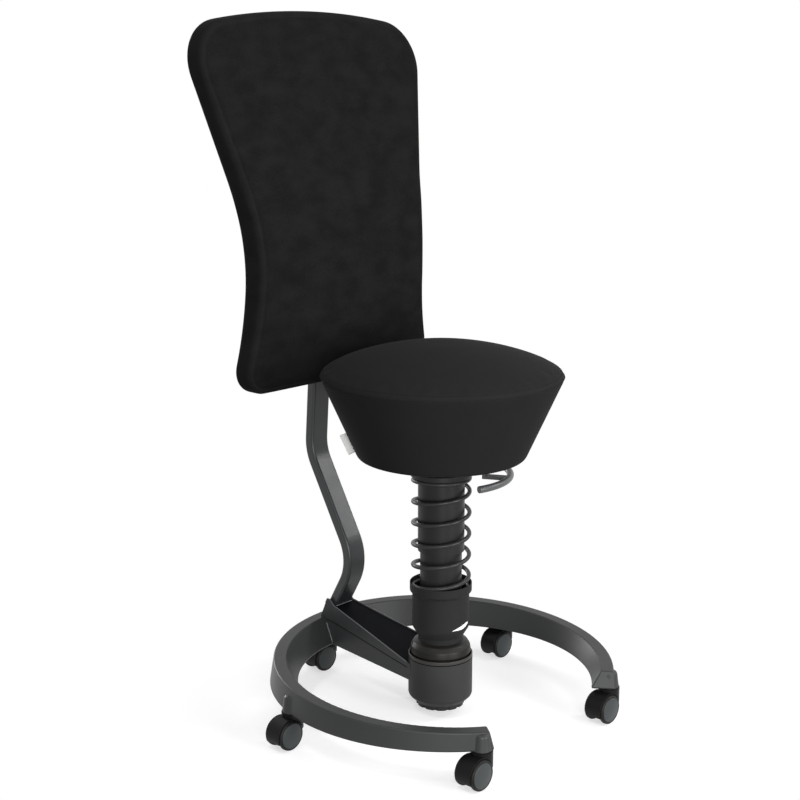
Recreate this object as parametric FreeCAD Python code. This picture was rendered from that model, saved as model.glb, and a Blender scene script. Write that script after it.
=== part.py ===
"""Wobble stool with backrest, in millimetres.

The column stands over the origin, the floor is Z = 0, +Z is up and the backrest is on the +Y side.
"""
import FreeCAD
import Part
import math
import os

Vec = FreeCAD.Vector
ORIGIN = Vec(0, 0, 0)
AXIS_X = Vec(1, 0, 0)
AXIS_Y = Vec(0, 1, 0)
AXIS_Z = Vec(0, 0, 1)

# Fits that many pieces share
RUNNING_FIT = 0.05
SEAT_FIT = 0.02
SOFT_GAP = 0.3
OVERRUN = 60.0

# Castors
CASTOR_CENTRE_Y = -5.0
CASTOR_INSET = 6.0
CASTOR_ANGLES = (90.0, 162.0, 234.0, -54.0, 18.0)
CASTOR_TRAIL = 19.0
WHEEL_R = 25.2
WHEEL_WIDTH = 10.2
WHEEL_INNER_Y = 11.5
WHEEL_RIM_ROUND = 3.5
WHEEL_INNER_ROUND = 2.5
WHEEL_FACE_R = 110.0
WHEEL_CAP_WALL = 4.0
AXLE_R = 4.0
AXLE_END_GAP = 0.5
STEM_R = 5.5
STEM_IN_HOOD = 16.0
STEM_IN_BOSS = 20.0
STEM_BORE_SPARE = 2.0
HOOD_TOP_Z = 57.5
HOOD_NECK_R = 18.2
HOOD_NECK_LOW_Z = 30.0
HOOD_WEB_GAP = 0.9
HOOD_WHEEL_GAP = 0.7
HOOD_COVER_WALL = 1.2
HOOD_COVER_HALF_WIDTH = 15.5
HOOD_SKIRT_Z = 15.0
HOOD_EDGE_ROUND = 0.6

# Foot ring
RING_CENTRE_Y = -6.6
RING_BOTTOM_Z = 58.5
RING_HEIGHT = 39.0
RING_TOP_OUTER_R = 293.0
RING_TOP_WIDTH = 21.7
RING_OUTER_FLARE = 0.13
RING_INNER_FLARE = 0.5
RING_TOP_SLOPE = 0.036
RING_EDGE_ROUND = 2.6
RING_WALL = 3.5
RING_END_PAST_STEM = 18.8
RING_END_RAKE = 0.25
BOSS_BOTTOM_R = 17.0
BOSS_TOP_R = 13.0
BOSS_HEIGHT = 28.0
BOSS_TOP_ROUND = 7.0
BOSS_GAP = 1.0

# Ring arm with its cheek plates and cover
ARM_FLOOR = 4.0
ARM_WALL = 3.0
ARM_HUB_Y = 24.0
ARM_HUB_HALF_WIDTH = 50.7
ARM_FLARE_LENGTH = 34.0
ARM_INTO_RING = 7.3
ARM_TOP_HUB_Z = 88.6
ARM_TOP_REAR_Z = 135.5
CHEEK_WALL = 2.0
CHEEK_LOW_HUB_Z = 81.0
CHEEK_LOW_REAR_Z = 107.0
CHEEK_PEAK_Z = 145.0
CHEEK_PEAK_INSETS = (23.5, 17.0)
COVER_WALL = 2.0
COVER_SINK = 1.5

# Back post
POST_WIDTH = 40.0
POST_DEPTH = 20.0
POST_WALL = 2.5
POST_EDGE_ROUND = 4.5
POST_FOOT_INSET = 1.7
POST_FOOT_Z = 95.0
POST_LOW_BEND = (197.7, 223.35)
POST_LOW_BEND_R = 82.0
POST_HIGH_BEND = (305.3, 414.2)
POST_HIGH_BEND_R = 80.0
POST_TOP = (280.0, 770.0)
POST_TOP_WALL = 3.0

# Backrest: outline seen from the front, then its profile seen from the side
BACK_BOTTOM_Z = 554.0
BACK_BOTTOM_HALF = 229.5
BACK_BOTTOM_ROUND = 40.0
BACK_WAIST_Z = 765.5
BACK_WAIST_HALF = 180.3
BACK_WAIST_ROUND = 667.0
BACK_SHOULDER_Z = 1161.0
BACK_SHOULDER_HALF = 274.3
BACK_SHOULDER_ROUND = 76.0
BACK_PEAK_Z = 1198.0
BACK_PEAK_ROUND = 1300.0
BACK_LUMBAR_Z = 799.5
BACK_REAR_Y = 263.6
BACK_REAR_ROUND = 661.0
BACK_REAR_LOW_SLOPE = -0.045
BACK_REAR_HIGH_SLOPE = 0.22
PAD_FRONT_Y = 214.0
PAD_LUMBAR_ROUND = 480.0
PAD_LOW_SLOPE = -0.095
PAD_HIGH_SLOPE = 0.254
PAD_FRONT_ROUND = 9.0
PAD_REAR_ROUND = 5.0
PANEL_DEPTH = 8.0
PANEL_INSET = 7.0
BRACKET_HALF_WIDTH = 28.0
BRACKET_LOW_Z = 671.0
BRACKET_HEIGHT = 90.0
BRACKET_GRIP = 12.0
BRACKET_SCREW_R = 3.0
BRACKET_SCREW_HEAD_R = 6.0
BRACKET_SCREW_HEAD = 3.5
BRACKET_SCREW_MARGIN = 22.0

# Hub, ball joint and stiffness adjuster
PIVOT_Z = 90.0
BALL_R = 46.0
LINER_GAP = 0.1
LINER_WALL = 2.8
LINER_LOW_Z = 66.0
LINER_HIGH_Z = 93.0
HUB_R = 55.5
HUB_TOP_Z = 100.0
HUB_BOTTOM_Z = 20.0
HUB_FOOT_R = 44.0
HUB_FOOT_HEIGHT = 11.0
HUB_FOOT_ROUND = 9.0
HUB_FLOOR = 6.0
HUB_STEP = 5.0
PLATE_BORE_R = 30.0
BUFFER_BORE_R = 34.5
BUFFER_BOTTOM_Z = 33.5
PRESSURE_PLATE_WALL = 5.0
PRESSURE_PLATE_LIFT = 2.0
SCREW_R = 8.0
SCREW_TOP_GAP = 0.5
KNOB_R = 41.5
KNOB_WALL = 7.5
KNOB_LOBES = 12
KNOB_LOBE_R = 5.0
KNOB_LOBE_DEPTH = 2.2
COLLAR_WALL = 2.1
COLLAR_HEIGHT = 6.3
BOOT_R = 52.9
BOOT_WALL = 3.3
BOOT_EDGE_Z = 104.0

# Sprung column
NECK_R = 38.6
NECK_TOP_Z = 140.0
SPIGOT_HEIGHT = 6.0
GUIDE_R = 35.8
GUIDE_WALL = 3.0
GUIDE_TOP_Z = 365.0
BUSH_HEIGHT = 20.0
CUP_FOOT_R = 40.0
CUP_R = 49.0
CUP_FOOT_HEIGHT = 15.0
CUP_FOOT_ROUND = 10.0
CUP_FLOOR = 20.0
CUP_LEDGE_Z = 219.0
CUP_CAVITY_R = 44.0
CUP_RIM_R = 53.3
CUP_RIM_WALL = 1.3
CUP_RIM_HEIGHT = 14.5
CUP_RIM_ROUND = 3.0
CUP_LIP_ROUND = 0.7
SPRING_MEAN_R = 47.9
SPRING_WIRE_R = 3.7
SPRING_PITCH = 37.4
SPRING_START_DEG = -104.9
SPRING_RISE_DEG = 95.5
SPRING_END_FLAT_DEG = 200.0
SPRING_EASE_DEG = 45.0
SPRING_STEP_DEG = 90.0
SPRING_LEAST_GAP = 0.4
SLEEVE_R = 39.8
SLEEVE_WALL = 2.5
SLEEVE_LOW_Z = 291.0
TOP_PLATE_Z = 422.0
TOP_PLATE_R = 52.5
TOP_PLATE_WALL = 9.0
TOP_PLATE_ROUND = 1.2
TOP_SPIGOT_R = 43.8
TOP_SPIGOT_HEIGHT = 9.0

# Gas spring
GAS_SLEEVE_R = 25.0
GAS_SLEEVE_WALL = 2.5
GAS_SLEEVE_LOW_Z = 203.0
GAS_SLEEVE_FLOOR = 4.0
GAS_BUSH_HEIGHT = 36.0
GAS_TUBE_R = 14.0
GAS_TUBE_WALL = 2.5
GAS_TUBE_LENGTH = 247.0
GAS_TUBE_CAP = 12.0
GAS_TUBE_STROKE_SPARE = 156.0
CONE_HEIGHT = 28.0
CONE_DROP = 1.5
PISTON_ROD_R = 5.0
PISTON_FOOT_R = 12.0
PISTON_FOOT = 4.0
PISTON_ABOVE_CAP = 17.0
PISTON_HEIGHT = 10.0
PISTON_GAP = 0.3
VALVE_PIN_R = 3.0
VALVE_PIN_DEPTH = 15.0
VALVE_PIN_RISE = 6.0
VALVE_TRAVEL = 3.0

# Seat
SEAT_BOTTOM_Z = 456.0
SEAT_BOTTOM_R = 141.5
SEAT_BOTTOM_ROUND = 6.0
SEAT_RIM_Z = 601.0
SEAT_RIM_R = 206.5
SEAT_RIM_ROUND = 10.0
SEAT_CROWN = 47.0
SEAT_PLATE_Z = 589.0
SEAT_PLATE_WALL = 6.0
SEAT_PLATE_R = 110.0
SEAT_HUB_R = 22.0
SEAT_HUB_HEIGHT = 30.0
SEAT_HUB_HOLE_R = 6.0
WELL_R = 60.0
WELL_WALL = 4.0
SHELL_FLANGE_R = 122.0
SHELL_FLANGE_WALL = 3.0
TAG_ANGLE = 133.0
TAG_LOW_Z = 465.0
TAG_HEIGHT = 33.0
TAG_REACH = 13.0
TAG_WALL = 1.2

# Release lever
LEVER_ANGLE = -62.0
LEVER_PIVOT_R = 74.0
LEVER_PIVOT_DROP = 8.5
LEVER_PIN_R = 3.0
LEVER_EYE_R = 6.0
LEVER_EYE_HALF = 9.5
LEVER_EAR_WALL = 4.0
LEVER_EAR_GAP = 0.5
LEVER_EAR_HALF = 8.0
LEVER_EAR_BELOW = 6.0
LEVER_BAR_HALF_WIDTH = 8.0
LEVER_BAR_WALL = 5.0
LEVER_ROD_R = 6.0
LEVER_ROD_CIRCLE_R = 116.0
LEVER_ROD_Z = 425.0
LEVER_ROD_HALF_ANGLE = 45.0
LEVER_ROD_ROUND = 1.5

# Worked out from the sizes above
AXLE_Z = WHEEL_R
WHEEL_OUTER_Y = WHEEL_INNER_Y + WHEEL_WIDTH
BOSS_BOTTOM_Z = HOOD_TOP_Z + BOSS_GAP
RING_TOP_Z = RING_BOTTOM_Z + RING_HEIGHT
RING_TOP_INNER_R = RING_TOP_OUTER_R - RING_TOP_WIDTH
CASTOR_CIRCLE_R = RING_TOP_OUTER_R - CASTOR_INSET
ARM_REAR_Y = RING_CENTRE_Y + RING_TOP_INNER_R + ARM_INTO_RING
ARM_FLARE_Y = ARM_REAR_Y - ARM_FLARE_LENGTH
CHEEK_PEAK_Y = tuple(ARM_REAR_Y - inset for inset in CHEEK_PEAK_INSETS)
POST_FOOT = (ARM_REAR_Y - POST_FOOT_INSET, POST_FOOT_Z)
ARM_REAR_HALF_WIDTH = POST_WIDTH / 2 + ARM_WALL + CHEEK_WALL
LINER_INNER_R = BALL_R + LINER_GAP
LINER_OUTER_R = LINER_INNER_R + LINER_WALL
SOCKET_R = LINER_OUTER_R + LINER_GAP
COLLAR_INNER_R = HUB_R - COLLAR_WALL
GUIDE_INNER_R = GUIDE_R - GUIDE_WALL
SLEEVE_INNER_R = SLEEVE_R - SLEEVE_WALL
GAS_SLEEVE_INNER_R = GAS_SLEEVE_R - GAS_SLEEVE_WALL
TOP_PLATE_TOP_Z = TOP_PLATE_Z + TOP_PLATE_WALL
GAS_TUBE_INNER_R = GAS_TUBE_R - GAS_TUBE_WALL
SEAT_HUB_LOW_Z = SEAT_PLATE_Z - SEAT_HUB_HEIGHT
CONE_TOP_Z = SEAT_HUB_LOW_Z + CONE_HEIGHT
CONE_TOP_R = GAS_TUBE_R - CONE_DROP
GAS_TUBE_LOW_Z = CONE_TOP_Z - GAS_TUBE_LENGTH
SEAT_APEX_Z = SEAT_RIM_Z + SEAT_CROWN
SHELL_LOW_Z = SEAT_BOTTOM_Z - SHELL_FLANGE_WALL
LEVER_PIVOT_Z = SHELL_LOW_Z - LEVER_PIVOT_DROP
LEVER_EAR_INNER = LEVER_EYE_HALF + LEVER_EAR_GAP
LEVER_EAR_OUTER = LEVER_EAR_INNER + LEVER_EAR_WALL


def save(name, shape):
    """Write one node, without leftover seams."""
    shape.removeSplitter().exportStep("parts/" + name + ".step")


def polar(radius, degrees, z=0.0):
    """A point at a radius and a plan angle."""
    angle = math.radians(degrees)
    return Vec(radius * math.cos(angle), radius * math.sin(angle), z)


def round_corner(before, at, after, radius):
    """Start, middle and end of the arc that rounds a corner."""
    back = (before - at).normalize()
    ahead = (after - at).normalize()
    half = back.getAngle(ahead) / 2
    reach = radius / math.tan(half)
    inward = (back + ahead).normalize()
    centre = at + inward * (radius / math.sin(half))
    return at + back * reach, centre - inward * radius, at + ahead * reach


def outline(corners):
    """A closed wire of lines and tangent arcs, from (point, corner radius) pairs."""
    count = len(corners)
    stops = []
    for index, (point, radius) in enumerate(corners):
        before = corners[index - 1][0]
        after = corners[(index + 1) % count][0]
        stops.append(round_corner(before, point, after, radius) if radius else (point, None, point))
    edges = []
    for index, (start, middle, end) in enumerate(stops):
        if middle is not None:
            edges.append(Part.Arc(start, middle, end).toShape())
        edges.append(Part.LineSegment(end, stops[(index + 1) % count][0]).toShape())
    return Part.Wire(edges)


def turned(profile):
    """A solid turned about Z, from (radius, height, corner radius) points."""
    wire = outline([(Vec(radius, 0, z), rounding) for radius, z, rounding in profile])
    return Part.Face(wire).revolve(ORIGIN, AXIS_Z, 360)


def rod(radius, low, high):
    """An upright round bar on the column's axis."""
    return Part.makeCylinder(radius, high - low, Vec(0, 0, low))


def tube(inner, outer, low, high):
    """An upright round tube on the column's axis."""
    return rod(outer, low, high).cut(rod(inner, low, high))


def cross_rod(radius, x, z, start, end):
    """A round bar along Y."""
    return Part.makeCylinder(radius, end - start, Vec(x, start, z), AXIS_Y)


def ball(radius):
    """A sphere about the column's pivot."""
    return Part.makeSphere(radius, Vec(0, 0, PIVOT_Z))


def side_plate(profile, half_width):
    """A plate as wide as two half widths in X, from (y, z, corner radius) points."""
    wire = outline([(Vec(-half_width, y, z), rounding) for y, z, rounding in profile])
    return Part.Face(wire).extrude(Vec(2 * half_width, 0, 0))


def placed(shape, degrees, offset=ORIGIN):
    """A copy turned about Z and then shifted."""
    copy = shape.copy()
    copy.rotate(ORIGIN, AXIS_Z, degrees)
    copy.translate(offset)
    return copy


# Foot ring
def stem_place(castor_angle):
    """Where a castor's stem stands, in plan."""
    return polar(CASTOR_CIRCLE_R, castor_angle) + Vec(0, CASTOR_CENTRE_Y, 0)


def stem_angle(castor_angle):
    """Plan angle of a castor's stem, seen from the ring's centre."""
    stem = stem_place(castor_angle)
    return math.degrees(math.atan2(stem.y - RING_CENTRE_Y, stem.x))


def ring_end_cutter(castor_angle, turn_sign, inset):
    """What lies past a raked end of the ring, next to an end castor."""
    low_z = RING_BOTTOM_Z - OVERRUN
    high_z = RING_TOP_Z + OVERRUN
    reach = RING_END_PAST_STEM - inset
    low_reach = reach + RING_END_RAKE * (RING_BOTTOM_Z - low_z)
    high_reach = reach - RING_END_RAKE * (high_z - RING_BOTTOM_Z)
    far = low_reach + 2 * OVERRUN
    profile = [(low_reach, low_z), (far, low_z), (far, high_z), (high_reach, high_z)]
    points = [Vec(-OVERRUN, turn_sign * along, z) for along, z in profile]
    face = Part.Face(Part.makePolygon(points + points[:1]))
    block = face.extrude(Vec(2 * OVERRUN, 0, 0))
    return placed(block, stem_angle(castor_angle), stem_place(castor_angle))


def ring_body(inset):
    """The open ring's solid, drawn in from all its faces: turned about an axis that leans
    forward with its top, and cut level below."""
    depth = RING_HEIGHT + RING_TOP_SLOPE * RING_TOP_OUTER_R + OVERRUN / 4
    points = []
    for z in (-inset, -depth):
        inner = RING_TOP_INNER_R + RING_INNER_FLARE * z + inset
        outer = RING_TOP_OUTER_R - RING_OUTER_FLARE * z - inset
        points.extend((Vec(inner, 0, z), Vec(outer, 0, z)))
    points[2:] = points[:1:-1]
    face = Part.Face(Part.makePolygon(points + points[:1]))
    left, right = CASTOR_ANGLES[2], CASTOR_ANGLES[3]
    spare = math.degrees((RING_END_PAST_STEM + OVERRUN / 2) / CASTOR_CIRCLE_R)
    first = stem_angle(right) - spare
    face.rotate(ORIGIN, AXIS_Z, first)
    ring = face.revolve(ORIGIN, AXIS_Z, 180 - 2 * first)
    ring.rotate(ORIGIN, AXIS_X, math.degrees(math.atan(RING_TOP_SLOPE)))
    ring.translate(Vec(0, RING_CENTRE_Y, RING_TOP_Z))
    span = 2 * RING_TOP_OUTER_R
    below = Part.makeBox(2 * span, 2 * span, span, Vec(-span, -span, RING_BOTTOM_Z + inset - span))
    ends = [ring_end_cutter(left, 1, inset), ring_end_cutter(right, -1, inset)]
    return ring.cut([below] + ends)


def castor_bosses():
    """The five solid cones that hold the castors' stems."""
    top_z = BOSS_BOTTOM_Z + BOSS_HEIGHT
    boss = turned([(0, BOSS_BOTTOM_Z, 0), (BOSS_BOTTOM_R, BOSS_BOTTOM_Z, 0),
                   (BOSS_TOP_R, top_z, BOSS_TOP_ROUND), (0, top_z, 0)])
    return [placed(boss, 0, stem_place(angle)) for angle in CASTOR_ANGLES]


def foot_ring():
    """The open ring, a hollow section with its bosses and their bores."""
    ring = ring_body(0)
    ring = ring.makeFillet(RING_EDGE_ROUND, ring.Edges).cut(ring_body(RING_WALL))
    bore = rod(STEM_R + RUNNING_FIT, BOSS_BOTTOM_Z, HOOD_TOP_Z + STEM_IN_BOSS + STEM_BORE_SPARE)
    bores = [placed(bore, 0, stem_place(angle)) for angle in CASTOR_ANGLES]
    return ring.fuse(castor_bosses()).cut(bores)


# Castors
def castor_wheel():
    """The wheel on the +Y side: round tread, domed face and a blind bore."""
    bore_y = WHEEL_OUTER_Y - WHEEL_CAP_WALL
    bore_r = AXLE_R + RUNNING_FIT
    wheel = turned([(bore_r, WHEEL_INNER_Y, 0), (WHEEL_R, WHEEL_INNER_Y, WHEEL_INNER_ROUND),
                    (WHEEL_R, WHEEL_OUTER_Y, WHEEL_RIM_ROUND), (0, WHEEL_OUTER_Y, 0), (0, bore_y, 0),
                    (bore_r, bore_y, 0)])
    wheel = wheel.common(Part.makeSphere(WHEEL_FACE_R, Vec(0, 0, WHEEL_OUTER_Y - WHEEL_FACE_R)))
    wheel.rotate(ORIGIN, AXIS_X, -90)
    wheel.translate(Vec(-CASTOR_TRAIL, 0, AXLE_Z))
    return wheel


def castor_hood():
    """Neck, web between the wheels and the arched cover over their treads."""
    clear_r = WHEEL_R + HOOD_WHEEL_GAP
    cover_r = clear_r + HOOD_COVER_WALL
    web_y = WHEEL_INNER_Y - HOOD_WEB_GAP
    neck = rod(HOOD_NECK_R, HOOD_NECK_LOW_Z, HOOD_TOP_Z)
    cover = cross_rod(cover_r, -CASTOR_TRAIL, AXLE_Z, -HOOD_COVER_HALF_WIDTH, HOOD_COVER_HALF_WIDTH)
    cover = cover.makeFillet(HOOD_EDGE_ROUND, cover.Edges)
    hood = neck.fuse(cover)
    for start, end in ((web_y, OVERRUN), (-OVERRUN, -web_y)):
        hood = hood.cut(cross_rod(clear_r, -CASTOR_TRAIL, AXLE_Z, start, end))
    side = 2 * cover_r
    below = Part.makeBox(2 * side, side, side, Vec(-side, -cover_r, HOOD_SKIRT_Z - side))
    ahead = Part.makeBox(side, side, side, Vec(-CASTOR_TRAIL / 2, -cover_r, HOOD_NECK_LOW_Z - side))
    hood = hood.cut([below, ahead])
    hood = hood.cut(cross_rod(AXLE_R + SEAT_FIT, -CASTOR_TRAIL, AXLE_Z, -web_y, web_y))
    return hood.cut(rod(STEM_R + SEAT_FIT, HOOD_TOP_Z - STEM_IN_HOOD, HOOD_TOP_Z))


def castor_pieces():
    """The five pieces of one castor, with its stem on the Z axis."""
    axle_half = WHEEL_OUTER_Y - WHEEL_CAP_WALL - AXLE_END_GAP
    right = castor_wheel()
    return {
        "hood": castor_hood(),
        "stem": rod(STEM_R, HOOD_TOP_Z - STEM_IN_HOOD, HOOD_TOP_Z + STEM_IN_BOSS),
        "axle": cross_rod(AXLE_R, -CASTOR_TRAIL, AXLE_Z, -axle_half, axle_half),
        "wheel_right": right,
        "wheel_left": right.mirror(ORIGIN, AXIS_Y),
    }


# Ring arm
def arm_plan(inset):
    """The arm's flared plan, drawn in from its outer faces and carried up past the cheeks."""
    rear = ARM_REAR_HALF_WIDTH - inset
    hub = ARM_HUB_HALF_WIDTH - inset
    points = [Vec(rear, ARM_REAR_Y, 0), Vec(rear, ARM_FLARE_Y, 0), Vec(hub, ARM_HUB_Y, 0),
              Vec(-hub, ARM_HUB_Y, 0), Vec(-rear, ARM_FLARE_Y, 0), Vec(-rear, ARM_REAR_Y, 0)]
    face = Part.Face(Part.makePolygon(points + points[:1]))
    return face.extrude(Vec(0, 0, CHEEK_PEAK_Z + OVERRUN))


def arm_top(y):
    """Height of the cheeks' top edge."""
    slope = (ARM_TOP_REAR_Z - ARM_TOP_HUB_Z) / (ARM_FLARE_Y - ARM_HUB_Y)
    return ARM_TOP_HUB_Z + slope * (y - ARM_HUB_Y)


def arm_side(low_hub_z, low_rear_z, drop):
    """The arm's side view, between a lower edge and a line under the cheeks' top edge."""
    peak_front, peak_rear = CHEEK_PEAK_Y
    profile = [(ARM_HUB_Y, low_hub_z, 0), (ARM_REAR_Y, low_rear_z, 0), (peak_rear, CHEEK_PEAK_Z - drop, 0),
               (peak_front, CHEEK_PEAK_Z - drop, 0), (ARM_FLARE_Y, arm_top(ARM_FLARE_Y) - drop, 0),
               (ARM_HUB_Y, ARM_TOP_HUB_Z - drop, 0)]
    return side_plate(profile, ARM_HUB_HALF_WIDTH)


def ring_arm(ring, hub):
    """The channel that joins the ring to the hub."""
    drop = COVER_SINK + COVER_WALL
    channel = arm_side(RING_BOTTOM_Z, RING_BOTTOM_Z, drop).common(arm_plan(CHEEK_WALL))
    hollow = arm_plan(CHEEK_WALL + ARM_WALL)
    hollow.translate(Vec(0, 0, RING_BOTTOM_Z + ARM_FLOOR))
    return channel.cut([hollow, ring, hub])


def arm_cheeks(ring, hub):
    """The two side plates, which also grip the foot of the post."""
    cheeks = arm_side(CHEEK_LOW_HUB_Z, CHEEK_LOW_REAR_Z, 0).common(arm_plan(0))
    return cheeks.cut([arm_plan(CHEEK_WALL), ring, hub])


def arm_cover(hub):
    """The flat cover on the channel, a little below the cheeks' edges, up to the post."""
    hub_z = ARM_TOP_HUB_Z - COVER_SINK
    rear_z = arm_top(ARM_REAR_Y) - COVER_SINK
    profile = [(ARM_HUB_Y, hub_z - COVER_WALL, 0), (ARM_REAR_Y, rear_z - COVER_WALL, 0),
               (ARM_REAR_Y, rear_z, 0), (ARM_HUB_Y, hub_z, 0)]
    cover = side_plate(profile, ARM_HUB_HALF_WIDTH).common(arm_plan(CHEEK_WALL + RUNNING_FIT))
    pieces = cover.cut([hub, post_bar(0, 0, ARM_HUB_HALF_WIDTH)]).Solids
    return min(pieces, key=lambda piece: piece.CenterOfMass.y)


# Back post
def post_line(offset, shorten):
    """The post's centre line moved rearwards by an offset, as (y, z, corner radius) points."""
    spine = [Vec(0, y, z) for y, z in (POST_FOOT, POST_LOW_BEND, POST_HIGH_BEND, POST_TOP)]
    ways = [(end - start).normalize() for start, end in zip(spine, spine[1:])]
    spine[-1] = spine[-1] - ways[-1] * shorten
    rears = [Vec(0, way.z, -way.y) for way in ways]
    sides = [rears[0], rears[0] + rears[1], rears[1] + rears[2], rears[2]]
    radii = (0, POST_LOW_BEND_R - offset, POST_HIGH_BEND_R + offset, 0)
    line = []
    for point, side, rear, radius in zip(spine, sides, rears[:1] + rears, radii):
        side.normalize()
        moved = point + side * (offset / side.dot(rear))
        line.append((moved.y, moved.z, radius))
    return line


def post_bar(inset, shorten, half_width):
    """The bent bar inside the post's outer faces, as wide as two half widths."""
    half_depth = POST_DEPTH / 2 - inset
    profile = post_line(-half_depth, shorten) + post_line(half_depth, shorten)[::-1]
    return side_plate(profile, half_width)


def rim_edges(shape, way):
    """The edges round the faces that look one way."""
    faces = []
    for face in shape.Faces:
        u_low, u_high, v_low, v_high = face.ParameterRange
        if face.normalAt((u_low + u_high) / 2, (v_low + v_high) / 2).dot(way) > 0.7:
            faces.append(face)
    edges = [edge for face in faces for edge in face.Edges]
    return [edge for edge in edges if sum(edge.isSame(other) for other in edges) == 1]


def back_post(ring):
    """The rectangular tube, bent twice, closed at its top and seated on the ring."""
    half_width = POST_WIDTH / 2
    bar = post_bar(0, 0, half_width)
    sides = rim_edges(bar, AXIS_X) + rim_edges(bar, -AXIS_X)
    long_edges = [edge for edge in sides if abs(edge.Length - POST_DEPTH) > SOFT_GAP]
    bar = bar.makeFillet(POST_EDGE_ROUND, long_edges)
    hollow = post_bar(POST_WALL, POST_TOP_WALL, half_width - POST_WALL)
    pieces = bar.cut([hollow, ring]).Solids
    return max(pieces, key=lambda piece: piece.Volume)


# Backrest
def back_outline(inset):
    """The backrest's front view as a deep prism, drawn in from its edge."""
    half = [(BACK_BOTTOM_HALF, BACK_BOTTOM_Z, BACK_BOTTOM_ROUND),
            (BACK_WAIST_HALF, BACK_WAIST_Z, BACK_WAIST_ROUND),
            (BACK_SHOULDER_HALF, BACK_SHOULDER_Z, BACK_SHOULDER_ROUND)]
    corners = [(Vec(x, 0, z), radius) for x, z, radius in half]
    corners.append((Vec(0, 0, BACK_PEAK_Z), BACK_PEAK_ROUND))
    corners.extend((Vec(-x, 0, z), radius) for x, z, radius in reversed(half))
    face = Part.Face(outline(corners))
    if inset:
        face = face.makeOffset2D(-inset)
    return face.extrude(Vec(0, POST_HIGH_BEND[0] + 2 * OVERRUN, 0))


def back_line(bend_y, bend_round, low_slope, high_slope):
    """A side view of the backrest's curve: below the lumbar bend, at it and above it."""
    low_z = BACK_BOTTOM_Z - OVERRUN
    high_z = BACK_PEAK_Z + OVERRUN
    low_y = bend_y + low_slope * (low_z - BACK_LUMBAR_Z)
    high_y = bend_y + high_slope * (high_z - BACK_LUMBAR_Z)
    return [(low_y, low_z, 0), (bend_y, BACK_LUMBAR_Z, bend_round), (high_y, high_z, 0)]


def rear_line(ahead):
    """The panel's rear face in side view, moved forwards."""
    return back_line(BACK_REAR_Y - ahead, BACK_REAR_ROUND + ahead, BACK_REAR_LOW_SLOPE, BACK_REAR_HIGH_SLOPE)


def back_slab(front, rear):
    """A slab between two side view lines, wider than the backrest."""
    return side_plate(front + rear[::-1], BACK_SHOULDER_HALF + OVERRUN)


def back_pad():
    """The padded front of the backrest, deepest at the lumbar bend, with its soft edges."""
    front = back_line(PAD_FRONT_Y, PAD_LUMBAR_ROUND, PAD_LOW_SLOPE, PAD_HIGH_SLOPE)
    pad = back_outline(0).common(back_slab(front, rear_line(PANEL_DEPTH)))
    pad = pad.makeFillet(PAD_FRONT_ROUND, rim_edges(pad, -AXIS_Y))
    return pad.makeFillet(PAD_REAR_ROUND, rim_edges(pad, AXIS_Y))


def back_panel():
    """The stiff panel behind the padding."""
    return back_outline(PANEL_INSET).common(back_slab(rear_line(PANEL_DEPTH), rear_line(0)))


def bracket_screw_places():
    """Height and side of each bracket screw."""
    heights = (BRACKET_LOW_Z + BRACKET_SCREW_MARGIN, BRACKET_LOW_Z + BRACKET_HEIGHT - BRACKET_SCREW_MARGIN)
    return [(side, z) for side in (-1, 1) for z in heights]


def post_front_y(z):
    """Front face of the post's upper length."""
    (low_y, low_z), (high_y, high_z) = POST_HIGH_BEND, POST_TOP
    slope = (high_y - low_y) / (high_z - low_z)
    return low_y + slope * (z - low_z) - POST_DEPTH / 2 * math.hypot(1, slope)


def bracket_screw(side, z, spare):
    """One button-head screw through a bracket cheek, with spare room for its hole."""
    y = post_front_y(z) + BRACKET_GRIP / 2
    start = side * POST_WIDTH / 2
    way = Vec(side, 0, 0)
    grip = BRACKET_HALF_WIDTH - POST_WIDTH / 2
    head_x = side * BRACKET_HALF_WIDTH
    shank = Part.makeCylinder(BRACKET_SCREW_R + spare, grip, Vec(start, y, z), way)
    head = Part.makeCylinder(BRACKET_SCREW_HEAD_R, BRACKET_SCREW_HEAD, Vec(head_x, y, z), way)
    return shank.fuse(head)


def back_bracket():
    """The saddle between the panel and the post, with a cheek on each side of the post."""
    low_z = BRACKET_LOW_Z
    high_z = BRACKET_LOW_Z + BRACKET_HEIGHT
    front_y = BACK_REAR_Y - PANEL_DEPTH
    profile = [(front_y, low_z, 0), (post_front_y(low_z) + BRACKET_GRIP, low_z, 0),
               (post_front_y(high_z) + BRACKET_GRIP, high_z, 0), (front_y, high_z, 0)]
    saddle = side_plate(profile, BRACKET_HALF_WIDTH)
    in_front = back_slab(rear_line(OVERRUN), rear_line(0))
    holes = [bracket_screw(side, z, SEAT_FIT) for side, z in bracket_screw_places()]
    return saddle.cut([in_front, post_bar(0, 0, POST_WIDTH / 2)] + holes)


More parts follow.
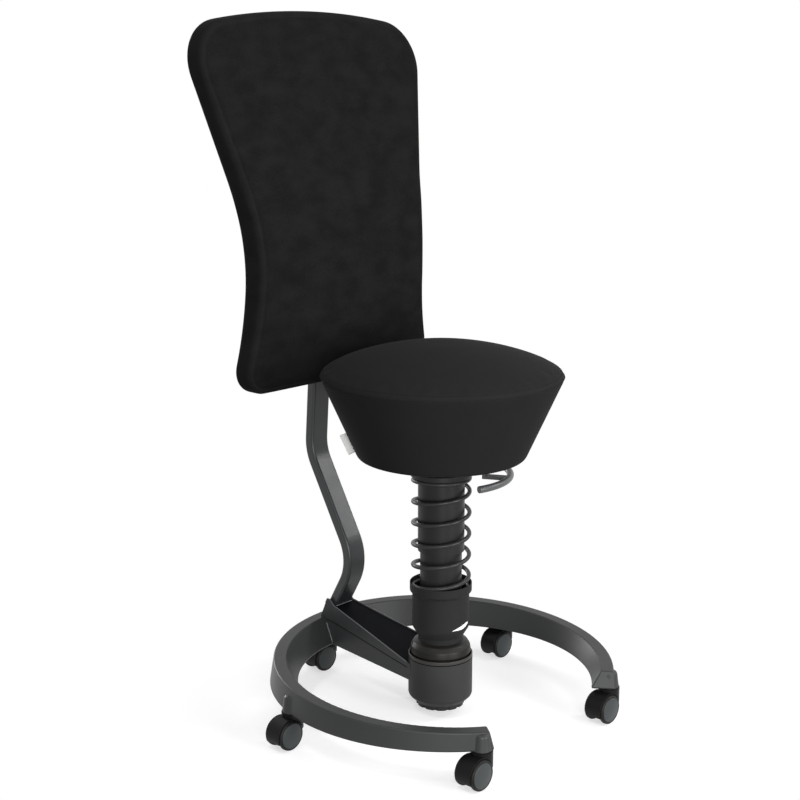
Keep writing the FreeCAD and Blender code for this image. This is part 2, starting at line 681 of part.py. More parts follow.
# Hub, ball joint and adjuster
def hub_housing():
    """The round housing that holds the ball joint."""
    floor_z = HUB_BOTTOM_Z + HUB_FLOOR
    socket_low_z = PIVOT_Z - math.sqrt(SOCKET_R ** 2 - BUFFER_BORE_R ** 2)
    body = turned([(0, HUB_BOTTOM_Z, 0), (HUB_FOOT_R, HUB_BOTTOM_Z, 0),
                   (HUB_R, HUB_BOTTOM_Z + HUB_FOOT_HEIGHT, HUB_FOOT_ROUND), (HUB_R, HUB_TOP_Z, 0),
                   (0, HUB_TOP_Z, 0)])
    lower = rod(PLATE_BORE_R, floor_z, BUFFER_BOTTOM_Z)
    upper = rod(BUFFER_BORE_R, BUFFER_BOTTOM_Z, socket_low_z + RUNNING_FIT)
    socket = ball(SOCKET_R).cut(rod(HUB_R, 0, socket_low_z))
    step = rod(COLLAR_INNER_R, HUB_TOP_Z - HUB_STEP, HUB_TOP_Z)
    screw_hole = rod(SCREW_R + RUNNING_FIT, HUB_BOTTOM_Z, floor_z)
    return body.cut([lower, upper, socket, step, screw_hole])


def stiffness_knob():
    """The lobed knob under the hub with its screw."""
    low_z = HUB_BOTTOM_Z - KNOB_WALL
    knob = rod(KNOB_R, low_z, HUB_BOTTOM_Z)
    reach = KNOB_R + KNOB_LOBE_R - KNOB_LOBE_DEPTH
    scoop = rod(KNOB_LOBE_R, low_z, HUB_BOTTOM_Z)
    scoops = [placed(scoop, 0, polar(reach, index * 360 / KNOB_LOBES)) for index in range(KNOB_LOBES)]
    return knob.cut(scoops).fuse(rod(SCREW_R, low_z, BUFFER_BOTTOM_Z - SCREW_TOP_GAP))


def pressure_plate():
    """The plate that the knob's screw lifts under the rubber buffer."""
    high_z = BUFFER_BOTTOM_Z - PRESSURE_PLATE_LIFT
    return tube(SCREW_R + RUNNING_FIT, PLATE_BORE_R - SOFT_GAP, high_z - PRESSURE_PLATE_WALL, high_z)


def wobble_buffer():
    """The rubber cup under the ball, on a ledge of the hub's bore."""
    block = rod(BUFFER_BORE_R - SOFT_GAP, BUFFER_BOTTOM_Z, PIVOT_Z)
    return block.cut(ball(BALL_R + SOFT_GAP))


def ball_liner():
    """The spherical belt between the ball and the hub's socket."""
    shell = ball(LINER_OUTER_R).cut(ball(LINER_INNER_R))
    return shell.common(rod(HUB_R, LINER_LOW_Z, LINER_HIGH_Z))


def pivot_ball():
    """The ball with the neck and spigot that carry the column."""
    neck = rod(NECK_R, PIVOT_Z, NECK_TOP_Z).cut(rod(NECK_R, PIVOT_Z, PIVOT_Z + BALL_R / 2))
    spigot = rod(GUIDE_INNER_R - SEAT_FIT, NECK_TOP_Z, NECK_TOP_Z + SPIGOT_HEIGHT)
    return ball(BALL_R).fuse([neck, spigot])


def ball_boot():
    """The rubber dome round the neck, clear of the collar as it rocks."""
    shell = ball(BOOT_R).cut(ball(BOOT_R - BOOT_WALL))
    above = tube(NECK_R, BOOT_R, BOOT_EDGE_Z, PIVOT_Z + BOOT_R)
    return shell.common(above)


# Sprung column
def spring_cup():
    """The cup that holds the foot of the spring and turns on the guide tube."""
    foot_z = NECK_TOP_Z + CUP_FOOT_HEIGHT
    rim_z = CUP_LEDGE_Z + CUP_RIM_HEIGHT
    flare_z = CUP_LEDGE_Z - (CUP_RIM_R - CUP_R)
    bore_r = GUIDE_R + RUNNING_FIT
    floor_z = NECK_TOP_Z + CUP_FLOOR
    seat_r = CUP_RIM_R - CUP_RIM_WALL
    return turned([(bore_r, NECK_TOP_Z, 0), (CUP_FOOT_R, NECK_TOP_Z, 0), (CUP_R, foot_z, CUP_FOOT_ROUND),
                   (CUP_R, flare_z, CUP_RIM_ROUND), (CUP_RIM_R, CUP_LEDGE_Z, CUP_RIM_ROUND),
                   (CUP_RIM_R, rim_z, CUP_LIP_ROUND), (seat_r, rim_z, 0), (seat_r, CUP_LEDGE_Z, 0),
                   (CUP_CAVITY_R, CUP_LEDGE_Z, 0), (CUP_CAVITY_R, floor_z, 0), (bore_r, floor_z, 0)])


def eased(turn, ease):
    """Zero before a turn angle and rising evenly after it, with a smooth start."""
    if turn <= -ease:
        return 0.0
    if turn >= ease:
        return turn
    return (turn + ease) ** 2 / (4 * ease)


def spring_point(degrees):
    """Centre of the wire and its heading, at a turn angle of the spring."""
    low_z = CUP_LEDGE_Z + SOFT_GAP + SPRING_WIRE_R
    high_z = TOP_PLATE_Z - SOFT_GAP - SPRING_WIRE_R
    stop_deg = SPRING_RISE_DEG + (high_z - low_z) / SPRING_PITCH * 360

    def height(angle):
        risen = eased(angle - SPRING_RISE_DEG, SPRING_EASE_DEG) - eased(angle - stop_deg, SPRING_EASE_DEG)
        return low_z + SPRING_PITCH * risen / 360

    step = 0.01
    slope = (height(degrees + step) - height(degrees - step)) / math.radians(2 * step)
    point = polar(SPRING_MEAN_R, degrees, height(degrees))
    heading = polar(SPRING_MEAN_R, degrees + 90, slope)
    return point, heading.normalize(), stop_deg + SPRING_END_FLAT_DEG


def arc_between(start, corner, end):
    """The circular arc that leaves start towards corner and ends at end."""
    chord_middle = (start + end) * 0.5
    cosine = math.cos((corner - start).getAngle(end - start))
    bulge = cosine / (1 + cosine)
    return Part.Arc(start, chord_middle + (corner - chord_middle) * bulge, end).toShape()


def biarc(start, heading, end, end_heading):
    """Two tangent arcs from a point and heading to another."""
    across = end - start
    both = heading + end_heading
    square = 2 * (1 - heading.dot(end_heading))
    linear = across.dot(both)
    reach = (math.sqrt(linear ** 2 + square * across.dot(across)) - linear) / square
    first = start + heading * reach
    second = end - end_heading * reach
    join = (first + second) * 0.5
    return [arc_between(start, first, join), arc_between(join, second, end)]


def spring_self_gap(path):
    """Least gap between turns of the wire, measured on points along its path."""
    points = path.discretize(Distance=SPRING_WIRE_R)
    half_turn = int(math.pi * SPRING_MEAN_R / SPRING_WIRE_R)
    gaps = [point.distanceToPoint(other) for index, point in enumerate(points)
            for other in points[index + half_turn:]]
    return min(gaps) - 2 * SPRING_WIRE_R


def coil_spring():
    """The spring as one unbroken wire, flat at both ends."""
    start, heading, last_deg = spring_point(SPRING_START_DEG)
    spans = math.ceil((last_deg - SPRING_START_DEG) / SPRING_STEP_DEG)
    stops = [spring_point(SPRING_START_DEG + (last_deg - SPRING_START_DEG) * index / spans)[:2]
             for index in range(spans + 1)]
    tail = SPRING_WIRE_R
    tip = start - heading * tail
    edges = [Part.LineSegment(tip, start).toShape()]
    for (point, way), (following, following_way) in zip(stops, stops[1:]):
        edges.extend(biarc(point, way, following, following_way))
    end, end_heading = stops[-1]
    edges.append(Part.LineSegment(end, end + end_heading * tail).toShape())
    path = Part.Wire(edges)
    gap = spring_self_gap(path)
    print("coil spring: least gap between turns %.2f mm" % gap)
    if gap < SPRING_LEAST_GAP:
        raise ValueError("the spring's turns touch")
    section = Part.Wire(Part.makeCircle(SPRING_WIRE_R, tip, heading))
    return path.makePipeShell([section], True, False)


def top_plate():
    """The plate on the spring, with a spigot inside the top turn."""
    flange = turned([(GAS_SLEEVE_R, TOP_PLATE_Z, 0), (TOP_PLATE_R, TOP_PLATE_Z, TOP_PLATE_ROUND),
                     (TOP_PLATE_R, TOP_PLATE_TOP_Z, TOP_PLATE_ROUND), (GAS_SLEEVE_R, TOP_PLATE_TOP_Z, 0)])
    return flange.fuse(tube(SLEEVE_R, TOP_SPIGOT_R, TOP_PLATE_Z - TOP_SPIGOT_HEIGHT, TOP_PLATE_Z))


# Gas spring
def gas_sleeve():
    """The outer sleeve of the gas spring, hung from the top plate, closed below."""
    inside = rod(GAS_SLEEVE_INNER_R, GAS_SLEEVE_LOW_Z + GAS_SLEEVE_FLOOR, TOP_PLATE_TOP_Z)
    return rod(GAS_SLEEVE_R, GAS_SLEEVE_LOW_Z, TOP_PLATE_TOP_Z).cut(inside)


def piston_rod():
    """The rod that stands on the sleeve's floor, with its foot and piston."""
    floor_z = GAS_SLEEVE_LOW_Z + GAS_SLEEVE_FLOOR
    piston_z = GAS_TUBE_LOW_Z + GAS_TUBE_CAP + PISTON_ABOVE_CAP
    foot = rod(PISTON_FOOT_R, floor_z, floor_z + PISTON_FOOT)
    piston = rod(GAS_TUBE_INNER_R - PISTON_GAP, piston_z, piston_z + PISTON_HEIGHT)
    return rod(PISTON_ROD_R, floor_z, piston_z).fuse([foot, piston])


def cone():
    """The taper that seats the gas tube in the seat's hub."""
    return Part.makeCone(GAS_TUBE_R, CONE_TOP_R, CONE_HEIGHT, Vec(0, 0, SEAT_HUB_LOW_Z))


def gas_tube():
    """The moving tube with its lower cap, taper and valve bore."""
    chamber_low_z = GAS_TUBE_LOW_Z + GAS_TUBE_CAP
    chamber_high_z = chamber_low_z + PISTON_ABOVE_CAP + PISTON_HEIGHT + GAS_TUBE_STROKE_SPARE
    body = rod(GAS_TUBE_R, GAS_TUBE_LOW_Z, SEAT_HUB_LOW_Z).fuse(cone())
    chamber = rod(GAS_TUBE_INNER_R, chamber_low_z, chamber_high_z)
    cap_bore = rod(PISTON_ROD_R + RUNNING_FIT, GAS_TUBE_LOW_Z, chamber_low_z)
    valve_bore = rod(VALVE_PIN_R + RUNNING_FIT, CONE_TOP_Z - VALVE_PIN_DEPTH - VALVE_TRAVEL, CONE_TOP_Z)
    return body.cut([chamber, cap_bore, valve_bore])


# Seat
def seat_plate():
    """The steel plate under the foam with its tapered hub."""
    top_z = SEAT_PLATE_Z + SEAT_PLATE_WALL
    plate = rod(SEAT_PLATE_R, SEAT_PLATE_Z, top_z)
    hub = rod(SEAT_HUB_R, SEAT_HUB_LOW_Z, SEAT_PLATE_Z)
    return plate.fuse(hub).cut([cone(), rod(SEAT_HUB_HOLE_R, CONE_TOP_Z, top_z)])


def lever_frame(shape):
    """A shape drawn with its lever along X, turned to the lever's plan angle."""
    return placed(shape, LEVER_ANGLE)


def seat_shell():
    """The moulded well round the column, its bottom flange and the lever's two ears."""
    well = tube(WELL_R, WELL_R + WELL_WALL, SHELL_LOW_Z, SEAT_PLATE_Z)
    flange = tube(WELL_R, SHELL_FLANGE_R, SHELL_LOW_Z, SEAT_BOTTOM_Z)
    ear_low_z = LEVER_PIVOT_Z - LEVER_EAR_BELOW
    ears = []
    for side_y in (LEVER_EAR_INNER, -LEVER_EAR_OUTER):
        corner = Vec(LEVER_PIVOT_R - LEVER_EAR_HALF, side_y, ear_low_z)
        ears.append(Part.makeBox(2 * LEVER_EAR_HALF, LEVER_EAR_WALL, SHELL_LOW_Z - ear_low_z, corner))
    hole_r = LEVER_PIN_R + RUNNING_FIT
    pin_hole = cross_rod(hole_r, LEVER_PIVOT_R, LEVER_PIVOT_Z, -LEVER_EAR_OUTER, LEVER_EAR_OUTER)
    ears = [lever_frame(ear.cut(pin_hole)) for ear in ears]
    return well.fuse([flange] + ears)


def seat_side_r(z):
    """Radius of the seat's cone side."""
    slope = (SEAT_RIM_R - SEAT_BOTTOM_R) / (SEAT_RIM_Z - SEAT_BOTTOM_Z)
    return SEAT_BOTTOM_R + slope * (z - SEAT_BOTTOM_Z)


def seat_cushion():
    """The upholstered seat: domed crown, soft rim and a side that draws in to the bottom."""
    crown_r = (SEAT_RIM_R ** 2 + SEAT_CROWN ** 2) / (2 * SEAT_CROWN)
    cone_side = turned([(0, SEAT_BOTTOM_Z, 0), (SEAT_BOTTOM_R, SEAT_BOTTOM_Z, SEAT_BOTTOM_ROUND),
                        (SEAT_RIM_R, SEAT_RIM_Z, 0), (seat_side_r(SEAT_APEX_Z), SEAT_APEX_Z, 0),
                        (0, SEAT_APEX_Z, 0)])
    crown = Part.makeSphere(crown_r, Vec(0, 0, SEAT_APEX_Z - crown_r))
    body = cone_side.common(crown)
    rim = [edge for edge in body.Edges if abs(edge.BoundBox.ZMin - SEAT_RIM_Z) < SOFT_GAP
           and edge.BoundBox.ZLength < SOFT_GAP]
    body = body.makeFillet(SEAT_RIM_ROUND, rim)
    well = rod(WELL_R + WELL_WALL, SEAT_BOTTOM_Z, SEAT_PLATE_Z)
    plate = rod(SEAT_PLATE_R + SOFT_GAP, SEAT_PLATE_Z, SEAT_PLATE_Z + SEAT_PLATE_WALL)
    return body.cut([well, plate])


def seat_tag(cushion):
    """The bare folded tag sewn into the seat's side."""
    high_z = TAG_LOW_Z + TAG_HEIGHT
    low_r = seat_side_r(TAG_LOW_Z)
    high_r = seat_side_r(high_z)
    side_y = -TAG_WALL / 2
    points = [Vec(low_r - TAG_REACH, side_y, TAG_LOW_Z), Vec(low_r + TAG_REACH, side_y, TAG_LOW_Z),
              Vec(high_r + TAG_REACH, side_y, high_z), Vec(high_r - TAG_REACH, side_y, high_z)]
    fold = Part.Face(Part.makePolygon(points + points[:1])).extrude(Vec(0, TAG_WALL, 0))
    return placed(fold, TAG_ANGLE).cut(cushion)


# Release lever
def height_lever():
    """The release lever: an eye on its pin, a cranked bar and a curved round grip."""
    bar_top_z = LEVER_ROD_Z + LEVER_BAR_WALL / 2
    bar_low_z = LEVER_ROD_Z - LEVER_BAR_WALL / 2
    leg_x = LEVER_PIVOT_R - LEVER_BAR_WALL / 2
    leg_width = 2 * LEVER_BAR_HALF_WIDTH
    eye = cross_rod(LEVER_EYE_R, LEVER_PIVOT_R, LEVER_PIVOT_Z, -LEVER_EYE_HALF, LEVER_EYE_HALF)
    pin = cross_rod(LEVER_PIN_R, LEVER_PIVOT_R, LEVER_PIVOT_Z, -LEVER_EAR_OUTER, LEVER_EAR_OUTER)
    leg = Part.makeBox(LEVER_BAR_WALL, leg_width, LEVER_PIVOT_Z - bar_low_z,
                       Vec(leg_x, -LEVER_BAR_HALF_WIDTH, bar_low_z))
    bar = Part.makeBox(LEVER_ROD_CIRCLE_R - leg_x, leg_width, bar_top_z - bar_low_z,
                       Vec(leg_x, -LEVER_BAR_HALF_WIDTH, bar_low_z))
    grip = Part.makeTorus(LEVER_ROD_CIRCLE_R, LEVER_ROD_R, Vec(0, 0, LEVER_ROD_Z), AXIS_Z, 0, 360,
                          2 * LEVER_ROD_HALF_ANGLE)
    ends = [edge for edge in grip.Edges if abs(edge.Length - 2 * math.pi * LEVER_ROD_R) < SOFT_GAP]
    grip = placed(grip.makeFillet(LEVER_ROD_ROUND, ends), -LEVER_ROD_HALF_ANGLE)
    return lever_frame(eye.fuse([pin, leg, bar, grip]))


def build():
    """Make every piece and write it under its own name."""
    os.makedirs("parts", exist_ok=True)
    ring = ring_body(0).fuse(castor_bosses())
    save("foot_ring", foot_ring())
    for number, angle in enumerate(CASTOR_ANGLES, start=1):
        for name, piece in castor_pieces().items():
            save("castor_%d_%s" % (number, name), placed(piece, 0, stem_place(angle)))

    hub = hub_housing()
    hub_space = rod(HUB_R, HUB_BOTTOM_Z, CHEEK_PEAK_Z)
    save("ring_arm", ring_arm(ring, hub_space))
    save("arm_cheeks", arm_cheeks(ring, hub_space))
    save("arm_cover", arm_cover(hub_space))
    save("back_post", back_post(ring))

    save("back_pad", back_pad())
    save("back_panel", back_panel())
    save("back_bracket", back_bracket())
    screws = [bracket_screw(side, z, 0) for side, z in bracket_screw_places()]
    save("bracket_screws", Part.makeCompound(screws))

    save("hub_housing", hub)
    save("hub_collar", tube(COLLAR_INNER_R, HUB_R, HUB_TOP_Z, HUB_TOP_Z + COLLAR_HEIGHT))
    save("stiffness_knob", stiffness_knob())
    save("pressure_plate", pressure_plate())
    save("wobble_buffer", wobble_buffer())
    save("ball_liner", ball_liner())
    save("pivot_ball", pivot_ball())
    save("ball_boot", ball_boot())

    save("guide_tube", tube(GUIDE_INNER_R, GUIDE_R, NECK_TOP_Z, GUIDE_TOP_Z))
    bush_r = GAS_SLEEVE_R + RUNNING_FIT
    save("guide_bush", tube(bush_r, GUIDE_INNER_R, GUIDE_TOP_Z - BUSH_HEIGHT, GUIDE_TOP_Z))
    save("spring_cup", spring_cup())
    save("coil_spring", coil_spring())
    save("upper_sleeve", tube(SLEEVE_INNER_R, SLEEVE_R, SLEEVE_LOW_Z, TOP_PLATE_Z))
    save("slide_bush", tube(GUIDE_R + RUNNING_FIT, SLEEVE_INNER_R, SLEEVE_LOW_Z, SLEEVE_LOW_Z + BUSH_HEIGHT))
    save("top_plate", top_plate())

    save("gas_sleeve", gas_sleeve())
    save("gas_bush", tube(GAS_TUBE_R + RUNNING_FIT, GAS_SLEEVE_INNER_R, TOP_PLATE_TOP_Z - GAS_BUSH_HEIGHT,
                          TOP_PLATE_TOP_Z))
    save("piston_rod", piston_rod())
    save("gas_tube", gas_tube())
    save("valve_pin", rod(VALVE_PIN_R, CONE_TOP_Z - VALVE_PIN_DEPTH, CONE_TOP_Z + VALVE_PIN_RISE))

    cushion = seat_cushion()
    save("seat_plate", seat_plate())
    save("seat_shell", seat_shell())
    save("seat_cushion", cushion)
    save("seat_tag", seat_tag(cushion))
    save("height_lever", height_lever())


build()
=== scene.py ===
"""Looks of the wobble stool with backrest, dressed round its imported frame.

Sizes are in millimetres and turn into metres where a mesh is made. The column stands over the origin,
the floor is Z = 0 and the backrest is on the +Y side.
"""
from __future__ import annotations

import logging
import math
from dataclasses import dataclass
from enum import Enum
from typing import Any, Callable, ClassVar, Sequence

import bmesh
import bpy
import numpy as np
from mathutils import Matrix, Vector

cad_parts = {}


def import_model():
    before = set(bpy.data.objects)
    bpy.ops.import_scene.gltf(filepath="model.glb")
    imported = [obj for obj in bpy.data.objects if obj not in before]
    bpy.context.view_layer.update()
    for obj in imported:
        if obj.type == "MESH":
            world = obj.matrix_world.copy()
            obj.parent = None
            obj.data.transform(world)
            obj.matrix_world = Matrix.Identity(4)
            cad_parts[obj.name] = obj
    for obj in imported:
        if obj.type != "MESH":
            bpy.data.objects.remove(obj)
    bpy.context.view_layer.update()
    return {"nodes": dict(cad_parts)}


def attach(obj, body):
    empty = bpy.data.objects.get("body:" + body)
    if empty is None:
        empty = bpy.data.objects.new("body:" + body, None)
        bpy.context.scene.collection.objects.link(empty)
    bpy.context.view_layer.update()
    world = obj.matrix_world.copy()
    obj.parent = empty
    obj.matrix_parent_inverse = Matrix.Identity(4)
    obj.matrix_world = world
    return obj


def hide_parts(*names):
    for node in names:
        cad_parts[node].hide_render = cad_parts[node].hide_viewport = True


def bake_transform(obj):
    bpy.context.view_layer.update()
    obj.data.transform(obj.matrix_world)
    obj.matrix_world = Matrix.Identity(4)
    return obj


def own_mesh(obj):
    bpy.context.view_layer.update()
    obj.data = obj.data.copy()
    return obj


LOG = logging.getLogger("wobble_stool")
MM = 0.001

# Angle at a dome's middle where its small cap begins, in radians
POLE_ANGLE = 0.004

# Two coordinates with the round at a corner, and a place in space
Corner = tuple[float, float, float]
Point = tuple[float, float, float]


class Body(Enum):
    """The moving bodies that finished pieces ride on."""

    BASE = "base"
    LINER = "liner"
    STRUT = "strut"
    CUP = "spring_cup"
    SEAT = "seat"


# Small tools that every class uses
def linear(code: str) -> tuple[float, float, float, float]:
    """Turn an sRGB hex colour into linear RGBA.

    Args:
        code: Colour such as "#3f4042".

    Returns:
        Linear red, green, blue and an alpha of one.
    """
    parts = []
    for start in (1, 3, 5):
        value = int(code[start:start + 2], 16) / 255
        parts.append(value / 12.92 if value <= 0.04045 else ((value + 0.055) / 1.055) ** 2.4)
    return (parts[0], parts[1], parts[2], 1.0)


def scaled(code: str, factor: float) -> tuple[float, float, float, float]:
    """Give a hex colour in linear light, made lighter or darker by a factor."""
    red, green, blue, alpha = linear(code)
    return (red * factor, green * factor, blue * factor, alpha)


def add_node(tree: bpy.types.NodeTree, kind: str, inputs: dict[Any, Any] | None = None,
             **settings: Any) -> bpy.types.Node:
    """Add one node with its settings, values and links.

    Args:
        tree: Tree that takes the node.
        kind: Blender's name of the node type.
        inputs: Value or linked socket for each input, by name or number.
        **settings: Properties of the node itself.

    Returns:
        The new node.
    """
    node = tree.nodes.new(kind)
    for name, value in settings.items():
        setattr(node, name, value)
    for key, value in (inputs or {}).items():
        if isinstance(value, bpy.types.NodeSocket):
            tree.links.new(value, node.inputs[key])
        else:
            node.inputs[key].default_value = value
    return node


def mesh_piece(name: str, points: np.ndarray, faces: Sequence[Sequence[int]],
               materials: Sequence[bpy.types.Material],
               edges: Sequence[tuple[int, int]] = ()) -> bpy.types.Object:
    """Make a smooth mesh object from points in millimetres.

    Args:
        name: Piece name.
        points: One row of x, y, z for each point.
        faces: Point numbers of each face.
        materials: Materials for the object's slots.
        edges: Point numbers of each loose edge.

    Returns:
        The linked object, at the origin.
    """
    mesh = bpy.data.meshes.new(name)
    mesh.from_pydata((np.asarray(points) * MM).tolist(), list(edges), [list(face) for face in faces])
    mesh.validate()
    mesh.shade_smooth()
    for material in materials:
        mesh.materials.append(material)
    piece = bpy.data.objects.new(name, mesh)
    bpy.context.collection.objects.link(piece)
    return piece


def name_piece(piece: bpy.types.Object, slot: str, *nodes: str) -> bpy.types.Object:
    """Hide the frame nodes that a finished piece stands for, and log its faces.

    Args:
        piece: Finished piece.
        slot: Not used.
        *nodes: Frame nodes that the piece hides.

    Returns:
        The same piece.
    """
    if nodes:
        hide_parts(*nodes)
    LOG.info("%s: %d faces", piece.name, len(piece.data.polygons))
    return piece


def finish_piece(piece: bpy.types.Object, body: Body | str, slot: str,
                 *nodes: str) -> bpy.types.Object:
    """Let a finished piece ride on its body and stand for frame nodes."""
    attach(piece, body.value if isinstance(body, Body) else body)
    return name_piece(piece, slot, *nodes)


def rounded_path(corners: Sequence[Corner], step: float) -> np.ndarray:
    """Walk an open path of lines and tangent arcs.

    Args:
        corners: Two coordinates and a corner radius for each corner, in millimetres.
        step: Longest distance between two points.

    Returns:
        Points along the path, with both ends.
    """
    spots = [np.array(corner[:2], float) for corner in corners]
    stops: list[np.ndarray] = [spots[0]]
    for index in range(1, len(spots) - 1):
        radius = corners[index][2]
        back = spots[index - 1] - spots[index]
        ahead = spots[index + 1] - spots[index]
        back /= np.linalg.norm(back)
        ahead /= np.linalg.norm(ahead)
        half = math.acos(float(np.clip(back @ ahead, -1, 1))) / 2
        if radius <= 0:
            stops.append(spots[index])
            continue
        inward = (back + ahead) / np.linalg.norm(back + ahead)
        centre = spots[index] + inward * radius / math.sin(half)
        start = spots[index] + back * radius / math.tan(half) - centre
        turn = math.pi - 2 * half
        sign = math.copysign(1.0, back[0] * ahead[1] - back[1] * ahead[0]) * -1
        count = max(2, math.ceil(turn * radius / step))
        for part in range(count + 1):
            angle = sign * turn * part / count
            cosine, sine = math.cos(angle), math.sin(angle)
            across = start[0] * cosine - start[1] * sine
            upward = start[0] * sine + start[1] * cosine
            stops.append(centre + np.array([across, upward]))
    stops.append(spots[-1])
    path = [stops[0]]
    for before, after in zip(stops, stops[1:]):
        count = max(1, math.ceil(float(np.linalg.norm(after - before)) / step))
        path.extend(before + (after - before) * part / count for part in range(1, count + 1))
    return np.array(path)


def evenly(path: np.ndarray, count: int) -> np.ndarray:
    """Place a number of points at equal distances along a path.

    Args:
        path: Points of the path, one row each.
        count: Number of points to place, both ends among them.

    Returns:
        The new points.
    """
    lengths = np.concatenate([[0], np.cumsum(np.linalg.norm(np.diff(path, axis=0), axis=1))])
    places = np.linspace(0, lengths[-1], count)
    return np.stack([np.interp(places, lengths, path[:, axis]) for axis in range(path.shape[1])], axis=1)


def lathe(profile: np.ndarray, segments: int) -> tuple[np.ndarray, list[list[int]]]:
    """Turn a profile about the Z axis.

    Args:
        profile: Radius and height of each ring, from below outwards and up.
        segments: Points round each ring.

    Returns:
        Points and quads, with the rings in order.
    """
    turns = np.arange(segments) * 2 * math.pi / segments
    rings = [np.stack([radius * np.cos(turns), radius * np.sin(turns), np.full(segments, height)], axis=1)
             for radius, height in profile]
    return np.concatenate(rings), ring_faces(len(profile), segments)


def ring_faces(rings: int, segments: int, closed: bool = False) -> list[list[int]]:
    """List the quads between rings of points.

    Args:
        rings: Number of rings.
        segments: Points round each ring.
        closed: Whether the last ring joins the first.

    Returns:
        Point numbers of each quad.
    """
    faces = []
    for ring in range(rings if closed else rings - 1):
        low = ring * segments
        high = (ring + 1) % rings * segments
        for at in range(segments):
            after = (at + 1) % segments
            faces.append([low + at, low + after, high + after, high + at])
    return faces


def tube_along(path: np.ndarray, radius: float, sides: int,
               closed: bool) -> tuple[np.ndarray, list[list[int]]]:
    """Make a round tube along points.

    Args:
        path: Centre points in millimetres.
        radius: Tube radius.
        sides: Points round the tube.
        closed: Whether the last point joins the first.

    Returns:
        Points and faces, with flat caps on an open tube.
    """
    ways = np.roll(path, -1, axis=0) - np.roll(path, 1, axis=0)
    if not closed:
        ways[0] = path[1] - path[0]
        ways[-1] = path[-1] - path[-2]
    ways /= np.linalg.norm(ways, axis=1, keepdims=True)
    up = np.array([0.0, 0.0, 1.0]) if abs(ways[0][2]) < 0.9 else np.array([1.0, 0.0, 0.0])
    points = []
    for centre, way in zip(path, ways):
        side = np.cross(way, up)
        side /= np.linalg.norm(side)
        up = np.cross(side, way)
        for at in range(sides):
            angle = 2 * math.pi * at / sides
            points.append(centre + radius * (math.cos(angle) * side + math.sin(angle) * up))
    faces = [face[::-1] for face in ring_faces(len(path), sides, closed)]
    if not closed:
        faces.append(list(range(sides)))
        faces.append(list(range(len(points) - 1, len(points) - sides - 1, -1)))
    return np.array(points), faces


def point_places(mesh: bpy.types.Mesh) -> np.ndarray:
    """Read a mesh's points.

    Args:
        mesh: Mesh to read.

    Returns:
        One row of x, y, z for each point, in metres.
    """
    places = np.empty(len(mesh.vertices) * 3)
    mesh.vertices.foreach_get("co", places)
    return places.reshape(-1, 3)


def inflate(piece: bpy.types.Object, pinned: Sequence[int], cap: float, pressure: float,
            frames: int = 20) -> None:
    """Swell a closed cover by simulated cloth and keep the result in its mesh.

    Args:
        piece: Closed mesh at the origin.
        pinned: Points that seams and stapled edges hold.
        cap: Longest way that a point may move, in millimetres.
        pressure: Inner pressure of the cloth.
        frames: Steps to simulate.
    """
    group = piece.vertex_groups.new(name="sewn")
    group.add(list(pinned), 1.0, "REPLACE")
    cloth = piece.modifiers.new("cover", "CLOTH")
    settings = cloth.settings
    settings.quality = 5
    settings.mass = 0.3
    settings.vertex_group_mass = group.name
    settings.use_pressure = True
    settings.uniform_pressure_force = pressure
    settings.effector_weights.gravity = 0.0
    settings.bending_stiffness = 2.0
    cloth.collision_settings.use_collision = False
    cloth.collision_settings.use_self_collision = False
    scene = bpy.context.scene
    for step in range(1, frames + 1):
        scene.frame_set(step)
    depsgraph = bpy.context.evaluated_depsgraph_get()
    before = point_places(piece.data)
    moves = point_places(piece.evaluated_get(depsgraph).data) - before
    lengths = np.linalg.norm(moves, axis=1, keepdims=True)
    limit = cap * MM
    moves *= limit * np.tanh(lengths / limit) / np.maximum(lengths, 1e-9)
    piece.modifiers.remove(cloth)
    piece.vertex_groups.remove(group)
    scene.frame_set(1)
    piece.data.vertices.foreach_set("co", (before + moves).ravel())
    piece.data.update()
    furthest = float(np.linalg.norm(moves, axis=1).max()) / MM
    LOG.info("%s swelled by %.1f mm at most", piece.name, furthest)


def apply_modifiers(piece: bpy.types.Object) -> bpy.types.Object:
    """Turn a piece with modifiers into a plain mesh.

    Args:
        piece: Piece whose modifiers are applied and removed.

    Returns:
        The same piece.
    """
    depsgraph = bpy.context.evaluated_depsgraph_get()
    mesh = bpy.data.meshes.new_from_object(piece.evaluated_get(depsgraph), depsgraph=depsgraph)
    piece.modifiers.clear()
    old = piece.data
    piece.data = mesh
    mesh.name = piece.name
    bpy.data.meshes.remove(old)
    return piece


def subdivided(piece: bpy.types.Object, levels: int) -> bpy.types.Object:
    """Smooth a mesh by subdivision and apply it.

    Args:
        piece: Piece to smooth.
        levels: Number of subdivisions.

    Returns:
        The same piece.
    """
    modifier = piece.modifiers.new("smooth", "SUBSURF")
    modifier.levels = levels
    modifier.render_levels = levels
    return apply_modifiers(piece)


def open_poles(piece: bpy.types.Object) -> None:
    """Take the many-sided faces off a mesh, so that it subdivides evenly.

    Args:
        piece: Piece whose caps are taken off.
    """
    mesh = bmesh.new()
    mesh.from_mesh(piece.data)
    caps = [face for face in mesh.faces if len(face.verts) > 4]
    bmesh.ops.delete(mesh, geom=caps, context="FACES_ONLY")
    mesh.to_mesh(piece.data)
    mesh.free()


def close_poles(piece: bpy.types.Object) -> None:
    """Fill every hole of a mesh again and point the faces outwards.

    Args:
        piece: Piece whose holes are filled.
    """
    mesh = bmesh.new()
    mesh.from_mesh(piece.data)
    made = bmesh.ops.holes_fill(mesh, edges=mesh.edges, sides=0)
    bmesh.ops.recalc_face_normals(mesh, faces=mesh.faces)
    for face in made["faces"]:
        face.smooth = True
    mesh.to_mesh(piece.data)
    mesh.free()


